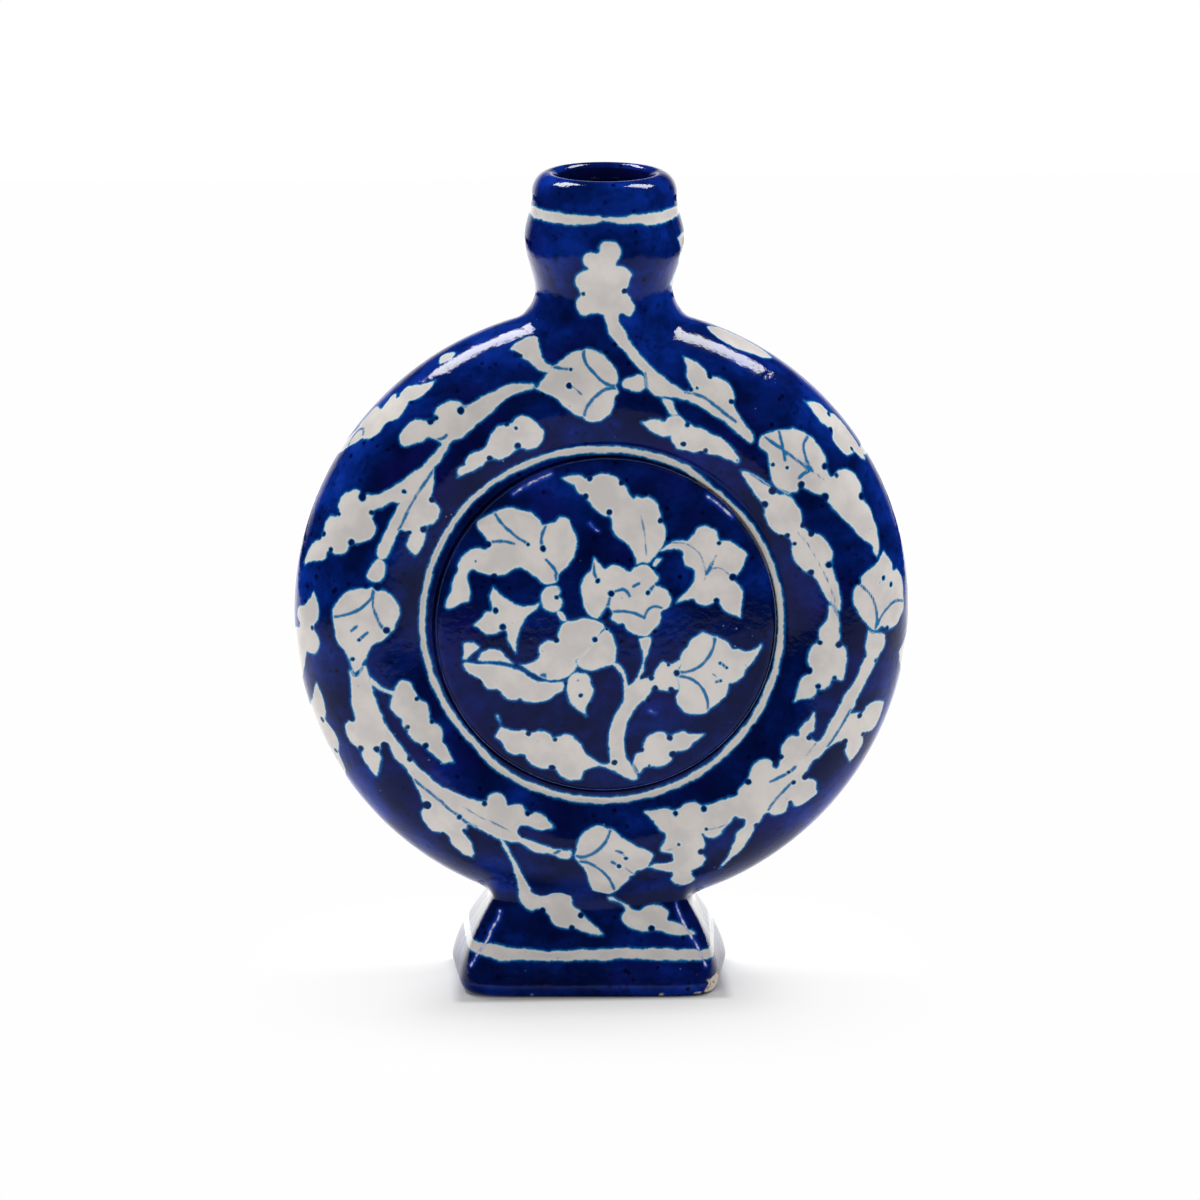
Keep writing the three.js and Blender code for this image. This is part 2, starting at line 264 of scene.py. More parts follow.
# %% [markdown]
# A soft box is a lamp behind a white cloth. Its long side decides how long a bright band it draws on the
# glaze, and its place decides where. These two were placed by reflecting the line of sight at both ends of
# the bands on the shoulders.

# %% Hang the soft boxes
SOFT_BOX_BREADTH = 0.44
SOFT_BOX_POWER = 13.0


def soft_box(name, start, end):
    """A lamp that hangs between two places in metres and faces the middle of the vase."""
    start, end = Vector(start), Vector(end)
    middle = (start + end) / 2
    away = (middle - AIM).normalized()
    along = (end - start) - (end - start).dot(away) * away
    along.normalize()
    lamp = bpy.data.objects.new(name, bpy.data.lights.new(name, "AREA"))
    lamp.data.shape = "RECTANGLE"
    lamp.data.size = (end - start).length
    lamp.data.size_y = SOFT_BOX_BREADTH
    lamp.data.energy = SOFT_BOX_POWER
    lamp.location = middle
    lamp.rotation_euler = Matrix((along, away.cross(along), away)).transposed().to_euler()
    bpy.context.scene.collection.objects.link(lamp)


soft_box("left_soft_box", (-0.32, 0.60, 1.45), (-0.92, 0.45, 1.25))
soft_box("right_soft_box", (0.42, 0.30, 1.52), (1.00, 0.24, 1.24))

# %% [markdown]
# ## Measuring the clay
# The main sizes come from the model. The body is a ring with an oval section swept round a disc. The boxes of
# the shell, the medallion, the neck and the foot give its centre, radii and depths.

# %% Take the sizes off the model
def box_mm(node):
    """A node's lowest and highest corners in millimetres."""
    low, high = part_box(node)
    return np.array(low) / MM, np.array(high) / MM


shell_low, shell_high = box_mm("front_shell")
disc_low, disc_high = box_mm("front_medallion")
neck_low, neck_high = box_mm("neck")
foot_low, foot_high = box_mm("foot")

BODY_RADIUS = round((shell_high[0] - shell_low[0]) / 2, 1)
BODY_TOP = round(shell_low[2] + 2 * BODY_RADIUS, 1)
CENTRE = BODY_TOP - BODY_RADIUS
RING_DEPTH = -round(shell_low[1], 1)
RING_WIDTH = 22.0
RING_RADIUS = BODY_RADIUS - RING_WIDTH
GROOVE_DEPTH = 3.6
GROOVE_FLOOR = RING_DEPTH - GROOVE_DEPTH
DISC_RADIUS = round((disc_high[0] - disc_low[0]) / 2, 1)
DISC_TOP = -disc_low[1]
DISC_BACK = -disc_high[1]
NECK_X = 0.6
NECK_LENGTH = neck_high[2] - BODY_TOP
FOOT_X = round((foot_low[0] + foot_high[0]) / 2 - 0.3, 1)
print("body", 2 * BODY_RADIUS, "mm across, centre", CENTRE, "mm up; neck", round(NECK_LENGTH, 1), "mm long")

# %% [markdown]
# ## Unrolling the skin
# A brush follows the clay, so the drawing is given on the unrolled skin: how far a stroke lies from the
# middle of the face, measured along the surface, and in which direction. On the medallion and in the groove
# that is the plain radius. On the ring it is the length of the oval, added up in small steps.

# %% Measure along the ring
SKIN_TURNS = np.linspace(-0.62, 2.7, 1200)
skin_steps = np.hypot(np.gradient(RING_RADIUS + RING_WIDTH * np.sin(SKIN_TURNS)),
                      np.gradient(RING_DEPTH * np.cos(SKIN_TURNS)))
GROOVE_TURN = -math.acos(GROOVE_FLOOR / RING_DEPTH)
GROOVE_EDGE = RING_RADIUS + RING_WIDTH * math.sin(GROOVE_TURN)
SKIN_LENGTHS = np.cumsum(skin_steps)
SKIN_LENGTHS += GROOVE_EDGE - np.interp(GROOVE_TURN, SKIN_TURNS, SKIN_LENGTHS)
FAR_AWAY = 400.0


def unroll(points):
    """Points on the body in millimetres to drawing coordinates of the front face."""
    x, y, z = points[..., 0], points[..., 1], points[..., 2] - CENTRE
    radius = np.hypot(x, z)
    turn = np.arctan2((radius - RING_RADIUS) / RING_WIDTH, -y / RING_DEPTH)
    along = np.where(radius < GROOVE_EDGE, radius, np.interp(turn, SKIN_TURNS, SKIN_LENGTHS))
    along = np.where((y > 0) & (radius < RING_RADIUS), FAR_AWAY, along)
    return np.stack([x, z], -1) * (along / np.maximum(radius, 1e-6))[..., None]


def other_side(points):
    """The same points after turning the vase half round, so that the back can be drawn like the front."""
    return points * np.array([-1.0, -1.0, 1.0])


RIM_LENGTH = float(np.interp(math.pi / 2, SKIN_TURNS, SKIN_LENGTHS))
print("from the middle of a face to the rim, along the skin:", round(RIM_LENGTH, 1), "mm")

# %% [markdown]
# ## A brush that measures
# Each shape is a closed outline through a few points, read like a path: x,y pairs in millimetres, with a
# star after a point that ends in a sharp tip. Between points the brush swings in a smooth curve. For every
# point of the skin the brush then says how deep inside the white it lies, in millimetres, which keeps an
# edge crisp however close one looks.

# %% Swing the brush
BRUSH_STEP = 0.7


def path_points(text):
    """Points and sharp marks from a path text."""
    words = text.split()
    sharp = [word.endswith("*") for word in words]
    return np.array([[float(n) for n in word.strip("*").split(",")] for word in words]), sharp


def swing(text, closed=True):
    """A smooth line through the points of a path text, sharp at its starred points."""
    points, sharp = path_points(text)
    count = len(points)
    at = (lambda i: i % count) if closed else (lambda i: min(max(i, 0), count - 1))
    line = []
    for i in range(count if closed else count - 1):
        before, start, end, after = (points[at(i + k)] for k in (-1, 0, 1, 2))
        leave = (end - start) if sharp[at(i)] else (end - before) / 2
        arrive = (end - start) if sharp[at(i + 1)] else (after - start) / 2
        steps = max(2, math.ceil(np.hypot(*(end - start)) / BRUSH_STEP))
        t = (np.arange(steps) / steps)[:, None]
        line.append((2 * t**3 - 3 * t**2 + 1) * start + (t**3 - 2 * t**2 + t) * leave
                    + (3 * t**2 - 2 * t**3) * end + (t**3 - t**2) * arrive)
    if not closed:
        line.append(points[-1:])
    return np.concatenate(line)


print("a round dot of 1 mm has", len(swing("1,0 0,1 -1,0 0,-1")), "points")

# %% Measure the depth
def gap_to(places, starts, ends):
    """The distance from each place to the nearest of some straight strokes."""
    reach = ends - starts
    offset = places[:, None] - starts
    share = np.clip((offset * reach).sum(-1) / np.maximum((reach**2).sum(-1), 1e-9), 0, 1)
    return np.sqrt(((offset - share[..., None] * reach) ** 2).sum(-1).min(1))


def depth_inside(places, loop):
    """How deep each place lies inside a closed outline, negative outside."""
    ends = np.roll(loop, -1, axis=0)
    gap = gap_to(places, loop, ends)
    x, y = places[:, :1], places[:, 1:]
    spans = (loop[:, 1] > y) != (ends[:, 1] > y)
    rise = np.where(ends[:, 1] == loop[:, 1], 1e-9, ends[:, 1] - loop[:, 1])
    crossing = loop[:, 0] + (y - loop[:, 1]) / rise * (ends[:, 0] - loop[:, 0])
    inside = (spans & (x < crossing)).sum(1) % 2 == 1
    return np.where(inside, gap, -gap)


def near(places, line, margin=2.0):
    """The places close to a line, as indices."""
    low, high = line.min(0) - margin, line.max(0) + margin
    return np.nonzero(((places > low) & (places < high)).all(1))[0]


print("its middle is", depth_inside(np.zeros((1, 2)), swing("1,0 0,1 -1,0 0,-1"))[0].round(2), "mm deep")

# %% [markdown]
# A drawing holds one depth for each kind of paint: the white slip, the dark dots and the pen lines. Beside
# them it stores how much lighter the blue is: towards the rim, where the glaze runs thin, and along pale
# streaks that are painted highlights.

# %% Draw
OUTSIDE = -2.0
VEIN_HALF = 0.45
FAINT_HALF = 0.2
HIGHLIGHT_HALF = 1.2
HIGHLIGHT_CORE = 0.1


def draw(places, shapes, dots, veins=(), faint=()):
    """White depth, dot depth and vein depth in millimetres at each place of a drawing."""
    white, spot, vein = (np.full(len(places), OUTSIDE) for _ in range(3))
    for text in shapes:
        loop = swing(text)
        close = near(places, loop)
        if len(close):
            white[close] = np.maximum(white[close], depth_inside(places[close], loop))
    for x, y, radius in path_points(dots)[0]:
        depth = radius - np.hypot(places[:, 0] - x, places[:, 1] - y)
        white = np.minimum(white, np.maximum(-depth, OUTSIDE))
        spot = np.maximum(spot, depth)
    for half, texts in ((VEIN_HALF, veins), (FAINT_HALF, faint)):
        for text in texts:
            line = swing(text, closed=False)
            close = near(places, line)
            if len(close):
                depth = half - gap_to(places[close], line[:-1], line[1:])
                vein[close] = np.maximum(vein[close], depth)
    return {"white": white, "spot": spot, "vein": vein}


def painted_highlights(places, highlight_lines):
    """Painted highlights along some lines: how much lighter the blue is, from 0 beside a line to 2 in its
    middle.
    """
    gap = np.full(len(places), HIGHLIGHT_HALF)
    for text in highlight_lines:
        line = swing(text, closed=False)
        close = near(places, line)
        if len(close):
            gap[close] = np.minimum(gap[close], gap_to(places[close], line[:-1], line[1:]))
    return 2.0 * np.clip((HIGHLIGHT_HALF - gap) / (HIGHLIGHT_HALF - HIGHLIGHT_CORE), 0, 1)


def overlaid(first, second):
    """Two drawings on the same skin."""
    return {name: np.maximum(first[name], second[name]) for name in first}


def faded(first, second, share):
    """A drawing that passes from the first to the second as share goes from 0 to 1."""
    return {name: first[name] * (1 - share) + second[name] * share for name in first}


print("a pen line is", 2 * VEIN_HALF, "mm wide, a faint one", 2 * FAINT_HALF, "mm")

# %% [markdown]
# ## The medallion
# A peony on a stem fills the medallion, with lily, trefoil and lobed leaves packed round it. The painter set
# dark dots where petals and lobes meet, and drew the veins with the tip of the brush.

# %% The medallion's drawing
MEDALLION_SHAPES = [
    # Crescent leaf with a bud
    "-42,5.8 -42.2,7.4 -40.8,11 -40.7,12.8 -39.3,15.8 -39,18 -37,20.5 -34,22 -31.8,21.7 -31.2,23.3 "
    "-32.2,25.6 -34.1,28.2 -32.4,29.8 -30,31.2 -27.5,32.4 -25,32.7 -22.2,31.7 -20,31.5 -18,30 "
    "-16.8,28.1 -15,28.9 -13.4,29.1 -12,30.4 -10,29.5 -9.3,27.5 -8.2,25.5 -8,22.5 -8.8,19.5 -11,16.8 "
    "-12.8,15.2 -13.2,13 -15.5,12.5 -17,13 -18.3,14.3 -20,15.6 -22.2,16.8 -24,16.9 -25.5,15.8 -26.8,15 "
    "-28.5,15 -30.8,15.2 -33.5,15.8 -35,16.5 -36.3,15.8 -36.6,13.5 -36,10 -36.5,8 -38.2,7.3 -39.8,6.3",
    # Small bud under it
    "-15,11.8 -13,11.8 -12.5,10.5 -13,9 -11.8,7.8 -12,6.5 -13,5.3 -15,5 -16.5,6 -17.3,8.3 -16.5,10.8",
    # Its fallen petal
    "-13,4.9 -11.8,4.6 -10.9,2.6 -12.2,2.8",
    # Star flower
    "-30,11.5* -28,9.5 -25.5,7.8 -23,6.5 -20,6.5 -17.8,7.3* -19,5.5 -21,4 -22.5,1.5 -23.5,-1 -24,-4 "
    "-24,-6.2* -25.2,-4.8 -26,-2.5 -26.3,0 -27.4,.2 -28.5,-.5 -30,-1.2 -32.5,-.5 -33.8,1 -35,1.2* "
    "-32.8,3.5 -31.8,4.8 -30.3,4.9 -30.3,6.8 -30.8,9",
    # Long leaf, lower half
    "-37.8,-9.2 -34.5,-9.5 -31,-9.5 -27,-9.8 -23,-11.3 -20.5,-13 -18,-14.1 -15,-14.5 -11.5,-14.2 "
    "-11.7,-16.2 -13.5,-17.5 -16,-19.2 -19.5,-19.8 -22,-19.3 -22.8,-18.5 -25,-19 -27.3,-18 -28.5,-16.3 "
    "-31.5,-16 -32.8,-14.2 -34.5,-12.8 -37,-11.2",
    # Long leaf, upper half
    "-33.8,-8.2 -32.8,-6.2 -31,-5.4 -28.8,-5.5 -27,-7 -25,-9.2* -28,-8.5 -31,-8.3",
    # Long leaf, turned tip
    "-37.8,-3.5 -35.8,-3.5 -34,-4.5* -36.5,-7.5 -38,-7.9 -37.9,-5.5",
    # Big leaf in the middle
    "-22.8,-9.5* -19.5,-9 -17.8,-7.2 -17.7,-4.8 -15.5,-3 -13.3,-3 -12.5,-.5 -11.2,1.8 -8,2.5 -5,3 "
    "-2.3,2 -.8,.8 -2.9,-2.6 -4.6,-4.9 -6.2,-7.1 -8.3,-8.4 -8,-10 -10.5,-12.8 -14,-13.6 -17,-12.9 "
    "-20.5,-11",
    # Round lobe beside it
    "-2.6,-2.2 0,0 1.5,-2.3 2.3,-6 1.7,-9.1 -.5,-10.2 -3,-11.2 -5.5,-11 -7.4,-9.8 -7.9,-8.2 -5.6,-6.3 "
    "-4.2,-4.4",
    # Hanging bud
    "-8,-11.8 -5,-12.3 -4.5,-14.5 -3.5,-16.5 -4.3,-19 -5.5,-21.2 -5.5,-23.5* -7.5,-22 -9.5,-19.8 "
    "-10.2,-17.5 -10.5,-14.8 -9.8,-13",
    # Top leaf
    "-11.8,40.6* -9.5,41.3 -7,41.4 -5.2,40.3 -3,41.1 -.5,41.6 2,40.8 3.2,39.7 5,38.2 5.9,36.2 7,34.6 "
    "7.8,35.5 9.4,35.2 11,35.3 13,33.8 14.2,31 14.3,28.8 15.1,27.3 15.4,25 14.8,22.5 13,20 11.3,17.8 "
    "9.5,18.1 8,17.6 7.4,20 5.7,23 3,24.8 1.5,27 1.5,28.8 .7,30.2 -1.5,31.2 -3.5,33.2 -4.8,35 "
    "-5.4,35.9 -7.5,37 -8.5,38.8 -10.5,39.8",
    # Peony
    "-3.3,19.3* -1.8,17.5 -.5,16.3 1,17.2 3.5,16.8 6,15.3 7.5,16.5 9.2,17.3 11,16.8 12.5,15.5 "
    "13.6,13.5 12.8,12 14.5,11.2 16,10 17,8 16.5,6 14.6,4.8 14.3,3.2 13.5,1 11.3,-1 10,-1.8 7.5,-1.3 "
    "5.5,-.3 4.8,1.7 3,1.7 1.2,3 1.6,4.6 .6,6.2 -.6,6 -1.4,4.2 -2.6,3.1 -4.6,4.1 -5.8,6.5 -6.5,9 "
    "-6.7,10.5 -6.3,13 -4.5,15.6 -3.7,17",
    # Sepal
    "12.2,17 12.6,18.4 13.2,18.9 14.3,18.7 13.4,17.4 12.8,16.8",
    # Trefoil on the right
    "14.3,21* 16.5,22.8 19,23.5 21.5,23.6 23,25 24.4,26.8 26.4,27.1 28.5,26.2 29.4,24.4 29.9,22.9 "
    "31,23.3 33,23 35,21.5 37.2,19.5 36.3,17.5 36,15.8 34.7,14.2 33.4,13.2 34.5,11.8 35.8,10 35.9,7.5 "
    "35.5,4.5 35.6,2.4* 34,3.5 32,4.2 30.5,5.5 29.3,7.3 28,6.8 26,6 24.3,6.5 23,8 21,7.8 18.5,7* "
    "19.3,8.3 21.5,10 23,12.5 23.5,14.8 22.8,16 21,17 20.4,18.8 20.2,20.5 18.5,21.5 16,21.2",
    # Lily on the right
    "19.7,-10.2 19.8,-8 20.3,-6.5 21.3,-5.3 22,-3.8 23.5,-2.6 25,-1.6 25.8,-1.3 27,-2 28.4,-2.3 "
    "30.5,-3.4 32,-4.2 33,-5.2 33.5,-6.1 35,-6.4 37,-7 39,-6.8 40.3,-6.2 41.3,-5.1* 40.5,-7.2 39,-9.5 "
    "37,-12 36.3,-13.5 35,-14.7 33.5,-15.3 32.6,-15.5 32.5,-16.8 31.8,-18.7 30.5,-20.3 29,-21.7 "
    "27.3,-22.4 26.8,-23.5 25.5,-23.9 23.5,-23.7 21.3,-23.3 20,-22 19,-20.5 18.7,-18.5 19.2,-17.3 "
    "19.3,-15 18.8,-13.5 18.3,-12.3",
    # Stem, its sepal leaf and the bottom left leaf
    "1.3,-36 .8,-33 .6,-30 1.2,-27 1.8,-24.8 3,-22.3 4.3,-20 4.8,-18 4.7,-15 4.2,-12.8 3,-11 1.7,-9.5 "
    "1.9,-9.2 3,-9.7 4,-10.7 4.8,-12.3 5.2,-13.8 5.5,-15.9* 6.8,-15.2 8,-13.6 9,-11.5 9.6,-9.5 9.6,-7 "
    "9.2,-4.5 8.8,-2.8 11.6,-2.6 11.2,-5 10.8,-7 10,-8.8 9.7,-10.8 8.7,-13.8 8.6,-15 9.5,-13.9 "
    "11,-13.8 12.5,-13 13,-11.5 14,-10 15,-9.4 15.8,-9.7 17,-9.8 18.5,-9.2 19.5,-9 19.8,-10 18.7,-12.3 "
    "19,-14.5 19.2,-16.5 18.3,-16.8 16.3,-17 15,-17 14,-16.6 12.3,-16.2 11.5,-17.5 10.5,-19 9.5,-19.8 "
    "8.3,-20.8 7,-22.3 6.2,-24 5.3,-25.5 5,-27.5 4.5,-30 4.6,-32 5,-34 5.3,-35.5 6.4,-37.3 7.2,-38.8 "
    "8.2,-40.5 8.4,-41.5 7.5,-41.9 6,-41.6 4.5,-40.8 2.5,-39.5 .8,-38.6 -1.5,-38 -4,-38.2 -5.8,-39 "
    "-6.5,-40 -6.8,-41.2 -8.5,-41.6 -10.5,-41.2 -12.5,-40 -13.7,-38.7 -15.3,-38.4 -17,-38.4 "
    "-18.8,-37.8 -20,-37 -21.2,-35.6 -21.5,-34.6 -23,-34.2 -24.4,-34.5 -25.9,-33.8 -26.9,-32.6 "
    "-27.6,-31.1 -29.3,-29.6 -28.8,-28.6 -28.2,-26.1 -29,-23.6* -27.9,-26.6 -25.9,-27.6 -24,-27.9 "
    "-22,-27.8 -20.8,-28.6 -19.3,-28.4 -18,-27.9 -16.5,-28.2 -15,-29 -14.6,-30 -12.8,-29.7 -11,-29 "
    "-9.5,-29.3 -8.3,-30.3 -7,-31.5 -6.3,-33 -5.5,-34.3 -4,-35.5 -2,-36.9 -.5,-37.4 1,-37.2",
    # Bottom right leaf
    "8.5,-40 7.3,-37.7 7.8,-35.8 8.3,-34.6 9.5,-34.2 9.9,-32.5 10,-31.3 11,-29.9 12.5,-29.1 14,-28.7 "
    "15.5,-28.9 16,-29.8 17.8,-29.7 19,-29 20.5,-28.7 22,-29.3 26,-29.5* 24,-31 22,-33 20.5,-34 "
    "19.2,-34.1 17,-35.2 17.5,-36 16.5,-37.3 15,-38.2 13.5,-38.3 12.3,-38 10.7,-38 9.7,-38.8",
]
MEDALLION_DOTS = (
    "-31.2,23.1,.9 -29.8,14.5,1 -16.8,21.9,.9 -34.5,18.5,.4 -20.7,23.1,.5 -13.2,8.8,.7 -27.5,.8,1 "
    "-29.3,5.3,.9 -13.3,-2.8,.8 -3.1,-2.8,.7 -6.9,-18.1,.65 -7.6,-13.9,.4 -4.4,40.4,.8 3.9,39.2,.8 "
    "14.2,29,.9 .7,31.5,.9 -5.4,35.8,.9 -2.4,13.2,.7 1.2,9.7,.9 10.9,9.8,.6 29.8,22.7,.7 33.5,13.5,1.1 "
    "29.1,7.3,.9 11.8,-13.4,.8 16.4,-10,.5 17.2,-16.8,.8 13,-16.3,.8 9.4,-13.2,.7 -14.5,-38.2,.9 "
    "-20.8,-28.6,.8 -13.7,-30.3,.8 2.1,-36.9,.9 18.6,-12.3,.9 9.5,-33.5,.7 16.9,-30.2,.9 17.7,-34.9,1 "
    "11.5,-38,.5 30.2,-9.9,.45 32,-11.2,.45 30.4,-14.7,.5 27.9,17.1,.4"
)
MEDALLION_VEINS = [
    "-30,23.7 -27,23.9 -24.3,23.2",
    "-29.5,31.3 -27,28 -23.5,25 -20.7,23.1",
    "-16,28 -17.1,25.5 -17.2,23.5 -16.8,22",
    "-16,19 -14.2,17 -13,15",
    "-3.5,18 -3.2,15 -2.5,13.4",
    "1.2,9.7 2.8,10.5 4.5,10.8 5.5,10 6,9",
    "7,11.5 8.5,12.3",
    "10.9,9.8 12.8,12",
    "1.5,4.8 5,4.8 7.5,4.2 10,3",
    "10,3 10.8,5 12.5,6 14.6,5.6",
    "0,5.5 .6,7.5 1.1,9.5",
    "28.8,-2.3 28.5,-5 27.5,-7.5 26,-9.5 23.8,-11.2 21,-12 18.5,-12",
    "18.5,-13 20.5,-13.3 22.5,-14 24.5,-15.5 26,-17.5 26.8,-19.7 27.1,-22.4",
    "29.9,-9.9 30.6,-9.9",
    "29.2,-15 30.5,-14.6",
    "7,-37.5 8.3,-40 9,-41.3 11,-42.5",
    "-18.2,-13.9 -17.4,-12.6 -16.4,-12.2 -16.6,-13.8",
    "27.9,17.2 27.2,15.8 26.4,14.4",
    "30.6,-10 32,-11.2",
    "-13.4,14.8 -12.4,10.8",
]
MEDALLION_FAINT = [
    "9,30.5 10,26 10.5,20",
    "17,23.1 20,23 22,22.2 24.5,20.2 25.6,17.5 26.2,14.8 26,13",
    "26.8,15 28.5,16 30.5,15.8 32,14.6 33,13.8",
    "28.3,-12.8 29.3,-13.6",
    "28,17.3 29,19.4",
]
# Painted highlights: glints along the medallion's upper edge and two small pale smears on its face
MEDALLION_HIGHLIGHTS = [
    "-24.6,36.4 -19.8,39.4 -14.5,41.8",
    "26.6,35.3 30.3,32.4 33.4,29.4",
    "-4.4,28.6 -3.4,27.4 -2,26.4",
    "11.6,-22.6 12.8,-23.2",
]
print("white shapes on a medallion:", len(MEDALLION_SHAPES))

# %% [markdown]
# ## The ring
# A garland runs round the medallion: four open flowers, lobed leaves between them, and half leaves that
# reach over the rim. A thin white circle is turned on the inner edge, by hand, so its radius wanders.

